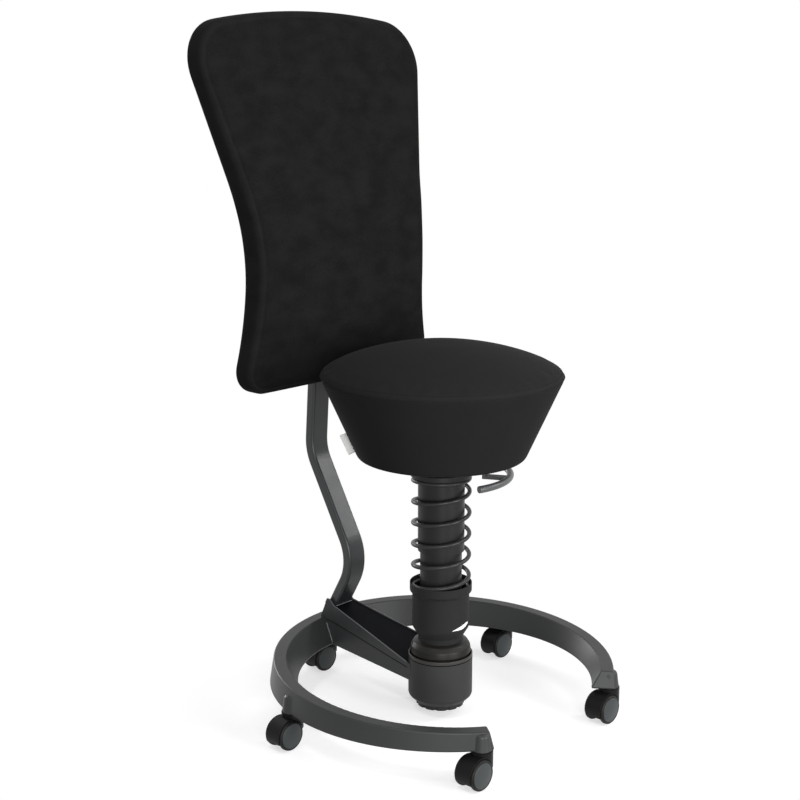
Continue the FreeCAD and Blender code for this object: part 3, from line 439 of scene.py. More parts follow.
def grow(piece: bpy.types.Object, tree: bpy.types.NodeTree, sizes: dict[str, Any]) -> bpy.types.Object:
    """Run a geometry tree on a piece's own mesh and keep the result as a plain mesh.

    Args:
        piece: Piece whose mesh goes in.
        tree: Geometry tree with named inputs.
        sizes: Value of each named input.

    Returns:
        The same piece with its new mesh.
    """
    modifier = piece.modifiers.new(piece.name, "NODES")
    modifier.node_group = tree
    for item in tree.interface.items_tree:
        if item.item_type == "SOCKET" and item.in_out == "INPUT" and item.name in sizes:
            modifier[item.identifier] = sizes[item.name]
    piece.update_tag()
    bpy.context.view_layer.update()
    return apply_modifiers(piece)


def geometry_tree(name: str, inputs: dict[str, str]) -> tuple[bpy.types.NodeTree, bpy.types.Node]:
    """Start a geometry tree with named inputs.

    Args:
        name: Tree name.
        inputs: Socket type of each named input.

    Returns:
        The tree and its input node.
    """
    tree = bpy.data.node_groups.new(name, "GeometryNodeTree")
    for label, kind in inputs.items():
        tree.interface.new_socket(label, in_out="INPUT", socket_type=kind)
    tree.interface.new_socket("Geometry", in_out="OUTPUT", socket_type="NodeSocketGeometry")
    return tree, add_node(tree, "NodeGroupInput")


def close_tree(tree: bpy.types.NodeTree, shape: bpy.types.NodeSocket,
               material: bpy.types.Material) -> None:
    """End a geometry tree in real, smooth geometry with its material.

    Args:
        tree: Geometry tree to end.
        shape: Socket that gives the geometry.
        material: Material of the whole shape.
    """
    real = add_node(tree, "GeometryNodeRealizeInstances", {"Geometry": shape})
    smooth = add_node(tree, "GeometryNodeSetShadeSmooth", {"Geometry": real.outputs[0]})
    painted = add_node(tree, "GeometryNodeSetMaterial",
                       {"Geometry": smooth.outputs[0], "Material": material})
    add_node(tree, "NodeGroupOutput", {"Geometry": painted.outputs[0]})


# Finishes
@dataclass(frozen=True)
class Finish:
    """What every finish has: a plain name and its colour."""

    name: str
    colour: str

    def material(self) -> bpy.types.Material:
        """Build the material of this finish."""
        material = bpy.data.materials.new(self.name)
        material.use_nodes = True
        tree = material.node_tree
        self.paint(tree, tree.nodes["Principled BSDF"])
        return material

    def paint(self, tree: bpy.types.NodeTree, shader: bpy.types.Node) -> None:
        """Set the shader's sockets and link its patterns."""
        raise NotImplementedError

    def noise(self, tree: bpy.types.NodeTree, size: float, detail: float = 2.0,
              stretch: tuple[float, float, float] = (1, 1, 1)) -> bpy.types.NodeSocket:
        """Add a noise whose features are about a size in millimetres.

        Args:
            tree: Material tree.
            size: Feature size.
            detail: Octaves of finer noise.
            stretch: Scale of the coordinates along each axis.

        Returns:
            The noise value, from 0 to 1.
        """
        coords = add_node(tree, "ShaderNodeTexCoord")
        mapping = add_node(tree, "ShaderNodeMapping",
                           {"Vector": coords.outputs["Object"], "Scale": stretch})
        pattern = add_node(tree, "ShaderNodeTexNoise", {
            "Vector": mapping.outputs[0], "Scale": 1 / (size * MM), "Detail": detail})
        return pattern.outputs["Fac"]

    def tones(self, tree: bpy.types.NodeTree, shader: bpy.types.Node, mask: bpy.types.NodeSocket,
              spread: float) -> None:
        """Vary the colour evenly about its value.

        Args:
            tree: Material tree.
            shader: Shader whose colour varies.
            mask: Pattern from 0, dark, to 1, light.
            spread: Share by which the colour gets darker and lighter.
        """
        blend = add_node(tree, "ShaderNodeMix", {
            "Factor": mask, 6: scaled(self.colour, 1 - spread), 7: scaled(self.colour, 1 + spread)},
            data_type="RGBA")
        tree.links.new(blend.outputs[2], shader.inputs["Base Color"])

    def relief(self, tree: bpy.types.NodeTree, shader: bpy.types.Node, height: bpy.types.NodeSocket,
               depth: float, strength: float = 1.0) -> None:
        """Raise the surface by a pattern.

        Args:
            tree: Material tree.
            shader: Shader whose normal bends.
            height: Pattern from 0, low, to 1, high.
            depth: Height of the pattern in millimetres.
            strength: Share of the bump that shows.
        """
        bump = add_node(tree, "ShaderNodeBump",
                        {"Height": height, "Distance": depth * MM, "Strength": strength})
        tree.links.new(bump.outputs[0], shader.inputs["Normal"])

    def gloss(self, tree: bpy.types.NodeTree, shader: bpy.types.Node, mask: bpy.types.NodeSocket,
              low: float, high: float) -> None:
        """Spread the roughness between two values.

        Args:
            tree: Material tree.
            shader: Shader whose roughness varies.
            mask: Pattern from 0 to 1.
            low: Roughness where the mask is 0.
            high: Roughness where the mask is 1.
        """
        spread = add_node(tree, "ShaderNodeMapRange", {"Value": mask, "To Min": low, "To Max": high})
        tree.links.new(spread.outputs[0], shader.inputs["Roughness"])


@dataclass(frozen=True)
class Skin(Finish):
    """A closed skin: cloudy shade and gloss over a fine relief, with pattern sizes in millimetres."""

    roughness: float
    shine: float
    grain: float
    depth: float
    grain_detail: float
    cloud: float
    cloud_detail: float
    spread: float
    smoother: float
    rougher: float

    def paint(self, tree: bpy.types.NodeTree, shader: bpy.types.Node) -> None:
        """Set a skin with cloudy gloss and a fine grain.

        Args:
            tree: Material tree.
            shader: Shader to set.
        """
        shader.inputs["Specular IOR Level"].default_value = self.shine
        cloud = self.noise(tree, self.cloud, self.cloud_detail)
        self.tones(tree, shader, cloud, self.spread)
        self.gloss(tree, shader, cloud, self.roughness - self.smoother, self.roughness + self.rougher)
        self.relief(tree, shader, self.noise(tree, self.grain, self.grain_detail), self.depth)


@dataclass(frozen=True)
class PowderCoat(Skin):
    """Powder coat on steel: an even satin skin with a faint orange peel."""

    roughness: float = 0.42
    shine: float = 0.3
    grain: float = 1.4
    depth: float = 0.012
    grain_detail: float = 2.0
    cloud: float = 55.0
    cloud_detail: float = 3.0
    spread: float = 0.06
    smoother: float = 0.05
    rougher: float = 0.05


@dataclass(frozen=True)
class MouldedPlastic(Skin):
    """Moulded nylon or ABS: a spark-eroded grain, drawn coarse enough to show, breaks up the highlights."""

    roughness: float = 0.45
    shine: float = 0.3
    grain: float = 0.8
    depth: float = 0.02
    grain_detail: float = 1.0
    cloud: float = 30.0
    cloud_detail: float = 3.0
    spread: float = 0.08
    smoother: float = 0.06
    rougher: float = 0.06


@dataclass(frozen=True)
class MouldedRubber(Skin):
    """Moulded rubber: warm grey, dull, with a soft bloom on its surface."""

    roughness: float = 0.5
    shine: float = 0.4
    grain: float = 1.0
    depth: float = 0.015
    grain_detail: float = 1.0
    cloud: float = 18.0
    cloud_detail: float = 4.0
    spread: float = 0.1
    smoother: float = 0.05
    rougher: float = 0.08


@dataclass(frozen=True)
class BareMetal(Finish):
    """Turned or ground steel: fine marks across the axis."""

    roughness: float = 0.25
    metallic: float = 1.0
    mark: float = 1.2
    mark_detail: float = 2.0
    mark_lay: Point = (0.1, 0.1, 1.0)
    spread: float = 0.06
    smoother: float = 0.05
    rougher: float = 0.08

    def paint(self, tree: bpy.types.NodeTree, shader: bpy.types.Node) -> None:
        """Set a metal with fine rings of tool marks.

        Args:
            tree: Material tree.
            shader: Shader to set.
        """
        shader.inputs["Metallic"].default_value = self.metallic
        marks = self.noise(tree, self.mark, self.mark_detail, self.mark_lay)
        self.tones(tree, shader, marks, self.spread)
        self.gloss(tree, shader, marks, self.roughness - self.smoother, self.roughness + self.rougher)


@dataclass(frozen=True)
class Fabric(Finish):
    """What both fabrics share: a dull face with next to no gloss and a trace of sheen."""

    spread: float
    roughness: float
    shine: float = 0.02
    sheen: float = 0.02
    sheen_roughness: float = 0.4

    def dull(self, shader: bpy.types.Node) -> None:
        """Set the sockets that are the same all over the cloth.

        Args:
            shader: Shader to set.
        """
        for socket, value in (("Roughness", self.roughness), ("Specular IOR Level", self.shine),
                              ("Sheen Weight", self.sheen), ("Sheen Roughness", self.sheen_roughness)):
            shader.inputs[socket].default_value = value


@dataclass(frozen=True)
class NappedSuede(Fabric):
    """Microfibre suede: a short nap that lies in soft, mottled patches."""

    spread: float = 0.24
    roughness: float = 0.92
    patch: float = 42.0
    patch_detail: float = 6.0
    patch_lay: Point = (1.0, 1.0, 1.5)
    fibre: float = 1.6
    fibre_detail: float = 2.0
    band: tuple[float, float] = (0.8, 1.2)
    pile: float = 0.12
    pile_strength: float = 0.6

    def paint(self, tree: bpy.types.NodeTree, shader: bpy.types.Node) -> None:
        """Set a soft mottled nap over fine fibres, drawn coarse enough to show.

        Args:
            tree: Material tree.
            shader: Shader to set.
        """
        patches = self.noise(tree, self.patch, self.patch_detail, self.patch_lay)
        fibres = self.noise(tree, self.fibre, self.fibre_detail)
        mixed = add_node(tree, "ShaderNodeMath", {0: patches, 1: fibres}, operation="ADD")
        low, high = self.band
        mask = add_node(tree, "ShaderNodeMapRange",
                        {"Value": mixed.outputs[0], "From Min": low, "From Max": high})
        self.tones(tree, shader, mask.outputs[0], self.spread)
        self.relief(tree, shader, mixed.outputs[0], self.pile, self.pile_strength)
        self.dull(shader)


@dataclass(frozen=True)
class StretchKnit(Fabric):
    """Tight stretch fabric: a fine even knit with a dull sheen."""

    spread: float = 0.08
    roughness: float = 0.88
    shade: float = 45.0
    shade_detail: float = 3.0
    stitch: float = 1.1
    stitch_detail: float = 1.0
    stitch_lay: Point = (1.0, 1.0, 0.7)
    loop: float = 0.06
    loop_strength: float = 0.5

    def paint(self, tree: bpy.types.NodeTree, shader: bpy.types.Node) -> None:
        """Set a fine knit, drawn coarse enough to show, with slight shade changes.

        Args:
            tree: Material tree.
            shader: Shader to set.
        """
        shades = self.noise(tree, self.shade, self.shade_detail)
        self.tones(tree, shader, shades, self.spread)
        knit = self.noise(tree, self.stitch, self.stitch_detail, self.stitch_lay)
        self.relief(tree, shader, knit, self.loop, self.loop_strength)
        self.dull(shader)


class Palette(Enum):
    """Every finish on the stool."""

    RING = PowderCoat("powder_coat_ring", "#2e2f2f", 0.42, 0.25)
    COLLAR = PowderCoat("powder_coat_collar", "#333230", 0.4, 0.2)
    # Lighter than the frame paint: painted highlight on the thin beads along the arm's edges and ends
    EDGE = PowderCoat("painted_edge_highlight", "#595b5c", 0.4, 0.4)
    FRAME = PowderCoat("powder_coat_frame", "#303132", 0.45, 0.2)
    POST = PowderCoat("powder_coat_post", "#27292a", 0.36, 0.4)
    TUBES = PowderCoat("lacquered_steel_tube", "#1f1f1f", 0.36, 0.16)
    SPRING = PowderCoat("lacquered_spring_wire", "#242424", 0.36, 0.25, 2.0)
    LEVER = PowderCoat("lacquered_lever_rod", "#444546", 0.36, 0.5)
    COVER = MouldedPlastic("moulded_abs_cover", "#0a0b0e", 0.6, 0.03)
    HUB = MouldedPlastic("moulded_nylon_hub", "#303030", 0.58, 0.14)
    CUP = MouldedPlastic("moulded_nylon_cup", "#242424", 0.6, 0.08)
    KNOB = MouldedPlastic("moulded_nylon_knob", "#1f2021", 0.5, 0.2)
    HOOD = MouldedPlastic("moulded_nylon_hood", "#0f0f0f", 0.38, 0.12)
    WHEEL = MouldedPlastic("moulded_nylon_tread", "#141413", 0.42, 0.15)
    WHEEL_FACE = MouldedPlastic("moulded_nylon_disc", "#2d3132", 0.4, 0.28)
    SHELL = MouldedPlastic("moulded_seat_shell", "#1a1b1c", 0.55)
    BUSH = MouldedPlastic("moulded_acetal", "#c9c7bd", 0.35)
    BOOT = MouldedRubber("moulded_rubber_boot", "#1a1917", 0.4, 0.16)
    # Near-black beads: painted shade in the gap under the hub's band and in the joints under the arm's cheeks
    SHADE_LINE = MouldedRubber("painted_shade_line", "#0b0b0b", 0.6, 0.05)
    BUFFER = MouldedRubber("moulded_rubber_buffer", "#2b2b2a")
    STEEL = BareMetal("turned_steel", "#9a9b9d", 0.3)
    CHROME = BareMetal("hard_chrome_rod", "#c8c9cb", 0.12)
    BLACKENED = BareMetal("blackened_steel", "#4c4d50", 0.4)
    BACK = NappedSuede("microfibre_suede_front", "#191919")
    BOXING = NappedSuede("microfibre_suede_boxing", "#1c1c1c", 0.15)
    SEAT = StretchKnit("stretch_knit_seat", "#232323")
    THREAD = StretchKnit("polyester_thread", "#1f1f20")
    TAG = StretchKnit("woven_tag", "#e6e6e4")
    MARK = MouldedPlastic("printed_mark", "#e6e6e4", 0.6)

    def material(self) -> bpy.types.Material:
        """Give this finish's material, built once."""
        found = bpy.data.materials.get(self.value.name)
        return found if found else self.value.material()


# Sub-assemblies
@dataclass
class SeatCushion:
    """The round seat: domed top panel, cone side panel and the seam between them."""

    bottom_z: float = 456.0
    bottom_r: float = 141.5
    bottom_round: float = 8.0
    rim_z: float = 601.0
    rim_r: float = 206.5
    rim_round: float = 11.0
    apex_z: float = 648.0
    well_r: float = 64.3
    well_top_z: float = 583.0
    well_round: float = 4.0
    mouth_round: float = 3.0
    roof_r: float = 2.0
    split_r: float = 100.0
    lead: float = 80.0
    inner_step: float = 12.0
    side_step: float = 5.0
    rings_past_seam: int = 6
    crown_rings: int = 34
    segments: int = 192
    swell: float = 1.6
    pressure: float = 3.0
    well_margin: float = 1.0
    edge_margin: float = 3.0
    welt_r: float = 0.8
    welt_sides: int = 8
    stitch_ring: int = 2
    stitch_lift: float = 0.1

    def profile(self) -> tuple[np.ndarray, int]:
        """Draw the half section from the well's roof round to the apex.

        Returns:
            Ring radii and heights, and the number of the seam's ring.
        """
        rise = self.apex_z - self.rim_z
        crown_r = (self.rim_r ** 2 + rise ** 2) / (2 * rise)
        tilt = math.asin(self.rim_r / crown_r)
        inner = rounded_path([(self.roof_r, self.well_top_z, 0),
                              (self.well_r, self.well_top_z, self.well_round),
                              (self.well_r, self.bottom_z, self.mouth_round),
                              (self.split_r, self.bottom_z, 0)], self.inner_step)
        tangent = (self.rim_r - self.lead * math.cos(tilt), self.rim_z + self.lead * math.sin(tilt))
        side = rounded_path([(self.split_r, self.bottom_z, 0),
                             (self.bottom_r, self.bottom_z, self.bottom_round),
                             (self.rim_r, self.rim_z, self.rim_round), (*tangent, 0)], self.side_step)
        seam = int(np.argmax(side[:, 0]))
        side = side[:seam + self.rings_past_seam]
        start = math.asin(side[-1][0] / crown_r)
        angles = np.linspace(start, POLE_ANGLE, self.crown_rings)[1:]
        heights = self.apex_z - crown_r + crown_r * np.cos(angles)
        crown = np.stack([crown_r * np.sin(angles), heights], axis=1)
        return np.concatenate([inner, side[1:], crown]), len(inner) - 1 + seam

    def held_rings(self, profile: np.ndarray, seam: int) -> list[int]:
        """Find the rings that the seam, the lower edge and the well hold still.

        Args:
            profile: Ring radii and heights.
            seam: Number of the seam's ring.

        Returns:
            Numbers of the held rings.
        """
        radii, heights = profile[:, 0], profile[:, 1]
        in_well = (radii < self.well_r + self.well_margin) & (heights < self.well_top_z + self.well_margin)
        at_edge = heights < self.bottom_z + self.edge_margin
        return [ring for ring in range(len(profile)) if ring == seam or at_edge[ring] or in_well[ring]]

    def build(self) -> None:
        """Make the cushion, its seam and its stitches."""
        profile, seam = self.profile()
        points, faces = lathe(profile, self.segments)
        count = self.segments
        last = len(profile) - 1
        faces.append(list(range(last * count, (last + 1) * count)))
        faces.append(list(range(count))[::-1])
        cushion = mesh_piece("seat_cover", points, faces, [Palette.SEAT.material()])
        pinned = [ring * count + at for ring in self.held_rings(profile, seam) for at in range(count)]
        inflate(cushion, pinned, self.swell, self.pressure)
        places = point_places(cushion.data) / MM
        welt_path = places[seam * count:(seam + 1) * count]
        row = seam + self.stitch_ring
        stitch_path = places[row * count:(row + 1) * count] + np.array([0.0, 0.0, self.stitch_lift])
        open_poles(cushion)
        subdivided(cushion, 1)
        close_poles(cushion)
        finish_piece(cushion, Body.SEAT, "seat_fabric", "seat_cushion")
        welt_points, welt_faces = tube_along(welt_path, self.welt_r, self.welt_sides, True)
        welt = mesh_piece("seat_rim_seam", welt_points, welt_faces, [Palette.SEAT.material()])
        finish_piece(welt, Body.SEAT, "seat_fabric")
        StitchRow().build("seat_rim_stitches", stitch_path, Palette.THREAD, Body.SEAT, "seat_fabric")


@dataclass(frozen=True)
class BackLine:
    """A side view line of the backrest: two straight runs with a soft bend between them."""

    bend_y: float
    bend_z: float
    bend_round: float
    low_slope: float
    high_slope: float

    def depth(self, heights: np.ndarray) -> np.ndarray:
        """Follow the line.

        Args:
            heights: Heights over the floor.

        Returns:
            The line's Y at each height.
        """
        turn = math.atan(self.high_slope) - math.atan(self.low_slope)
        reach = self.bend_round * math.tan(turn / 2)
        low = self.bend_y + self.low_slope * (heights - self.bend_z)
        high = self.bend_y + self.high_slope * (heights - self.bend_z)
        share = np.clip((heights - self.bend_z + reach) / (2 * reach), 0, 1)
        bend = (self.high_slope - self.low_slope) * reach * share ** 2
        return np.where(heights > self.bend_z + reach, high, low + bend)


@dataclass
class Backrest:
    """The tall padded back: front panel, boxing strip and rear panel in one sewn sleeve."""

    bottom: Corner = (229.5, 554.0, 40.0)
    waist: Corner = (180.3, 765.5, 667.0)
    shoulder: Corner = (274.3, 1161.0, 76.0)
    peak: Corner = (0.0, 1198.0, 1300.0)
    front: BackLine = BackLine(214.0, 799.5, 480.0, -0.095, 0.254)
    rear: BackLine = BackLine(263.6, 799.5, 661.0, -0.045, 0.22)
    front_round: float = 9.0
    rear_round: float = 7.0
    front_turns: tuple[int, ...] = (90, 72, 54, 36, 18, 0)
    rear_turns: tuple[int, ...] = (0, 30, 60, 90)
    front_insets: tuple[float, ...] = (19.0, 14.0)
    rear_insets: tuple[float, ...] = (9.5, 14.0)
    strip_shares: tuple[float, ...] = (0.25, 0.5, 0.75)
    spine_low: float = 120.0
    spine_high: float = 150.0
    skirt: float = 22.0
    outline_step: float = 3.0
    panel_rings: int = 22
    edge_points: int = 288
    swell: float = 2.0
    pressure: float = 2.5
    front_sink: float = 1.6
    rear_sink: float = 1.2
    stitch_lift: float = 0.1

    def half_outline(self) -> np.ndarray:
        """Walk the right half of the outline from bottom middle to top middle."""
        flat_top = (-self.shoulder[0], self.shoulder[1], 0.0)
        low_middle = (0.0, self.bottom[1], 0.0)
        path = rounded_path([low_middle, self.bottom, self.waist, self.shoulder, self.peak, flat_top],
                            self.outline_step)
        right = path[path[:, 0] >= -1e-6]
        right[-1][0] = 0.0
        return evenly(right, self.edge_points // 2 + 1)

    def outline(self) -> tuple[np.ndarray, np.ndarray]:
        """Give the closed outline in x and z with its inward normals."""
        right = self.half_outline()
        left = right[-2:0:-1] * np.array([-1.0, 1.0])
        edge = np.concatenate([right, left])
        ways = np.roll(edge, -1, axis=0) - np.roll(edge, 1, axis=0)
        ways /= np.linalg.norm(ways, axis=1, keepdims=True)
        return edge, np.stack([-ways[:, 1], ways[:, 0]], axis=1)

    @staticmethod
    def level(flat: np.ndarray, lift: Callable[[np.ndarray], np.ndarray]) -> np.ndarray:
        """Lift points of the outline's plane onto a side view line.

        Args:
            flat: X and Z of each point.
            lift: Gives Y at each height.

        Returns:
            The points in space.
        """
        return np.stack([flat[:, 0], lift(flat[:, 1]), flat[:, 1]], axis=1)

    def rounded_edge(self, outline: tuple[np.ndarray, np.ndarray], line: BackLine, size: float,
                     turns: Sequence[int]) -> list[np.ndarray]:
        """Lay the rings of a panel's rounded edge.

        Args:
            outline: Outline and its inward normals.
            line: Side view line of the panel.
            size: Round of the edge, below zero where it turns towards the front.
            turns: Angle of each ring in degrees.

        Returns:
            Rings of points.
        """
        edge, inward = outline
        rings = []
        for angle in np.radians(turns):
            ring = self.level(edge + inward * abs(size) * (1 - math.cos(angle)), line.depth)
            ring[:, 1] += size * (1 - math.sin(angle))
            rings.append(ring)
        return rings

    def rings(self) -> tuple[list[np.ndarray], int, int]:
        """Lay the rings of points from the front's middle line round to the rear's.

        Returns:
            Rings of points, and the numbers of the front and rear seam rings.
        """
        edge, inward = self.outline()
        half = self.edge_points // 2
        steps = np.arange(self.edge_points)
        mirror = np.minimum(steps, self.edge_points - steps)
        low_z, high_z = self.bottom[1] + self.spine_low, self.peak[1] - self.spine_high
        spine_z = low_z + (high_z - low_z) * mirror / half
        spine = np.stack([np.zeros(self.edge_points), spine_z], axis=1)
        skirt_line = edge + inward * self.skirt
        shares = np.linspace(1, 0, self.panel_rings)
        sheets = [skirt_line + (spine - skirt_line) * share for share in shares]
        rings = [self.level(sheet, self.front.depth) for sheet in sheets]
        rings += [self.level(edge + inward * inset, self.front.depth) for inset in self.front_insets]
        seam = len(rings)
        rings += self.rounded_edge((edge, inward), self.front, self.front_round, self.front_turns)
        near = self.front.depth(edge[:, 1]) + self.front_round
        far = self.rear.depth(edge[:, 1]) - self.rear_round
        for share in self.strip_shares:
            rings.append(np.stack([edge[:, 0], near + (far - near) * share, edge[:, 1]], axis=1))
        rings += self.rounded_edge((edge, inward), self.rear, -self.rear_round, self.rear_turns)
        rear_seam = len(rings) - 1
        rings += [self.level(edge + inward * inset, self.rear.depth) for inset in self.rear_insets]
        rings += [self.level(sheet, self.rear.depth) for sheet in sheets[::-1]]
        return rings, seam, rear_seam

    def welded_faces(self, rings: int) -> list[list[int]]:
        """List the faces, with the first and the last ring folded onto their middle lines.

        Args:
            rings: Number of rings.

        Returns:
            Point numbers of each face, before unused points are dropped.
        """
        count = self.edge_points
        last = (rings - 1) * count
        mirror = [min(at, count - at) for at in range(count)]
        folded = list(range(last + count))
        folded[:count] = mirror
        folded[last:] = [last + at for at in mirror]
        faces = []
        for face in ring_faces(rings, count):
            corners_left = list(dict.fromkeys(folded[at] for at in face))
            if len(corners_left) > 2:
                faces.append(corners_left)
        return faces

    def build(self) -> None:
        """Make the sleeve, swell it, sink its seams and sew them."""
        rings, seam, rear_seam = self.rings()
        count = self.edge_points
        faces = self.welded_faces(len(rings))
        used = sorted({at for face in faces for at in face})
        places = {at: number for number, at in enumerate(used)}
        faces = [[places[at] for at in face][::-1] for face in faces]
        materials = [Palette.BACK.material(), Palette.BOXING.material()]
        pad = mesh_piece("back_sleeve", np.concatenate(rings)[used], faces, materials)
        spots = {ring: [places[ring * count + at] for at in range(count) if ring * count + at in places]
                 for ring in range(len(rings))}
        strip = {at for ring in range(seam, rear_seam + 1) for at in spots[ring]}
        for polygon in pad.data.polygons:
            if all(at in strip for at in polygon.vertices):
                polygon.material_index = 1
        held_rings = [seam, *range(rear_seam, len(rings))]
        inflate(pad, [at for ring in held_rings for at in spots[ring]], self.swell, self.pressure)
        points = pad.data.vertices
        for ring, sink in ((seam, self.front_sink), (rear_seam, self.rear_sink)):
            for at in spots[ring]:
                points[at].co -= points[at].normal * sink * MM
        rows = {}
        for name, ring in (("back_front_stitches", seam - 1), ("back_rear_stitches", rear_seam + 1)):
            lifted = [points[at].co + points[at].normal * self.stitch_lift * MM for at in spots[ring]]
            rows[name] = np.array(lifted) / MM
        subdivided(pad, 1)
        finish_piece(pad, Body.BASE, "back_fabric", "back_pad", "back_panel")
        for name, path in rows.items():
            StitchRow().build(name, path, Palette.THREAD, Body.BASE, "back_fabric")


@dataclass
class CoilSpring:
    """The visible spring: one wire, flat at both ends, as a rule of its turn angle."""

    mean_r: float = 47.9
    wire_r: float = 3.7
    pitch: float = 37.4
    start_deg: float = -104.9
    rise_deg: float = 95.5
    flat_deg: float = 200.0
    ease_deg: float = 45.0
    low_z: float = 223.0
    high_z: float = 418.0
    travel: float = 55.0
    points_along: int = 560
    sides: int = 18

    INPUTS: ClassVar[tuple[str, ...]] = ("Mean radius", "Wire radius", "Pitch per radian", "Start", "End",
                                         "Rise", "Stop", "Ease", "Low")
    # The rule of the wire's place, one sum after another: its name, its kind and what goes in
    RULE: ClassVar[tuple[tuple[str, str, tuple[str | float, ...]], ...]] = (
        ("span", "SUBTRACT", ("End", "Start")),
        ("turn", "MULTIPLY_ADD", ("along", "span", "Start")),
        ("above", "SUBTRACT", ("turn", "Rise")),
        ("risen", "SMOOTH_MAX", ("above", 0.0, "Ease")),
        ("beyond", "SUBTRACT", ("turn", "Stop")),
        ("past", "SMOOTH_MAX", ("beyond", 0.0, "Ease")),
        ("climb", "SUBTRACT", ("risen", "past")),
        ("Z", "MULTIPLY_ADD", ("climb", "Pitch per radian", "Low")),
        ("cosine", "COSINE", ("turn",)),
        ("X", "MULTIPLY", ("cosine", "Mean radius")),
        ("sine", "SINE", ("turn",)),
        ("Y", "MULTIPLY", ("sine", "Mean radius")),
    )

    def tree(self) -> bpy.types.NodeTree:
        """Build the tree that winds a wire from its sizes."""
        tree, source = geometry_tree("wound_wire", dict.fromkeys(self.INPUTS, "NodeSocketFloat"))
        line = add_node(tree, "GeometryNodeCurvePrimitiveLine")
        dense = add_node(tree, "GeometryNodeResampleCurve",
                         {"Curve": line.outputs[0], "Count": self.points_along})
        values: dict[str | float, Any] = {name: source.outputs[name] for name in self.INPUTS}
        values["along"] = add_node(tree, "GeometryNodeSplineParameter").outputs["Factor"]
        for name, kind, terms in self.RULE:
            inputs = {at: values.get(term, term) for at, term in enumerate(terms)}
            values[name] = add_node(tree, "ShaderNodeMath", inputs, operation=kind).outputs[0]
        place = add_node(tree, "ShaderNodeCombineXYZ", {axis: values[axis] for axis in "XYZ"})
        wound = add_node(tree, "GeometryNodeSetPosition",
                         {"Geometry": dense.outputs[0], "Position": place.outputs[0]})
        section = add_node(tree, "GeometryNodeCurvePrimitiveCircle",
                           {"Resolution": self.sides, "Radius": values["Wire radius"]})
        wire = add_node(tree, "GeometryNodeCurveToMesh", {
            "Curve": wound.outputs[0], "Profile Curve": section.outputs[0], "Fill Caps": True})
        close_tree(tree, wire.outputs[0], Palette.SPRING.material())
        return tree

    def build(self) -> None:
        """Wind the spring and let it ride on the strut."""
        stop_deg = self.rise_deg + (self.high_z - self.low_z) / self.pitch * 360
        sizes = {"Mean radius": self.mean_r * MM, "Wire radius": self.wire_r * MM,
                 "Pitch per radian": self.pitch * MM / (2 * math.pi), "Start": math.radians(self.start_deg),
                 "End": math.radians(stop_deg + self.flat_deg), "Rise": math.radians(self.rise_deg),
                 "Stop": math.radians(stop_deg), "Ease": math.radians(self.ease_deg), "Low": self.low_z * MM}
        spring = grow(mesh_piece("spring_wire", np.zeros((0, 3)), [], []), self.tree(), sizes)
        finish_piece(spring, Body.STRUT, "spring_paint", "coil_spring")
        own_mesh(spring)


@dataclass
class BallBoot:
    """The rubber boot over the rocking ball: two halves that meet in one ring."""

    low_half: tuple[Corner, ...] = ((49.2, 101.0, 0.0), (50.0, 108.3, 0.8), (52.7, 109.6, 0.9),
                                    (52.2, 114.0, 0.0))
    high_half: tuple[Corner, ...] = ((52.2, 114.0, 0.0), (51.3, 119.8, 8.0), (46.5, 127.6, 6.0),
                                     (38.9, 130.4, 0.0))
    step: float = 1.2
    segments: int = 128

    def half(self, name: str, corners: Sequence[Corner], low: Body, high: Body,
             *nodes: str) -> bpy.types.Object:
        """Turn one half.

        Args:
            name: Piece name.
            corners: Radius, height and corner round along the half's profile, from below.
            low: Not used.
            high: Not used.
            *nodes: Frame nodes that the half stands for.

        Returns:
            The finished half.
        """
        points, faces = lathe(rounded_path(corners, self.step), self.segments)
        boot = mesh_piece(name, points, faces, [Palette.BOOT.material()])
        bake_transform(boot)
        return name_piece(boot, "boot_rubber", *nodes)

    def build(self) -> None:
        """Make both halves."""
        self.half("boot_skirt", self.low_half, Body.BASE, Body.LINER)
        self.half("boot_dome", self.high_half, Body.LINER, Body.STRUT, "ball_boot")


@dataclass
class HubCollar:
    """The thin band on the hub's top edge, with a near-black bead below it as painted shade in the gap under
    the band.
    """

    outer_r: float = 55.5
    inner_r: float = 53.4
    low_z: float = 100.0
    high_z: float = 106.3
    edge: float = 0.9
    inner_round: float = 0.4
    shade_drop: float = 0.9
    shade_proud: float = 0.15
    band_step: float = 1.5
    shade_step: float = 4.0
    segments: int = 128

    def band(self, name: str, outline: np.ndarray, finish: Palette, slot: str, *nodes: str) -> None:
        """Turn one closed outline into a band on the hub.

        Args:
            name: Piece name.
            outline: Radius and height of each corner, the first one again at the end.
            finish: Finish of the band.
            slot: Material slot of the record.
            *nodes: Frame nodes that the band stands for.
        """
        points, _ = lathe(outline[:-1], self.segments)
        faces = ring_faces(len(outline) - 1, self.segments, True)
        finish_piece(mesh_piece(name, points, faces, [finish.material()]), Body.BASE, slot, *nodes)

    def build(self) -> None:
        """Turn the band and the thin near-black bead below it, painted shade for the gap under the band."""
        start = (self.inner_r, self.low_z, 0)
        outline = rounded_path([start, (self.outer_r - self.edge, self.low_z, 0),
                                (self.outer_r, self.low_z + self.edge, self.edge * 0.4),
                                (self.outer_r, self.high_z, self.edge),
                                (self.inner_r, self.high_z, self.inner_round), start],
                               self.band_step)
        self.band("collar_band", outline, Palette.COLLAR, "frame_paint", "hub_collar")
        # Near-black bead standing just proud of the hub: painted shade where the band meets the hub
        low, high = self.low_z - self.shade_drop, self.low_z + self.edge * 0.5
        proud_r = self.outer_r + self.shade_proud
        bead = rounded_path([(self.inner_r, low, 0), (proud_r, low, 0), (proud_r, high, 0),
                             (self.inner_r, high, 0), (self.inner_r, low, 0)], self.shade_step)
        self.band("collar_shade_line", bead, Palette.SHADE_LINE, "boot_rubber")


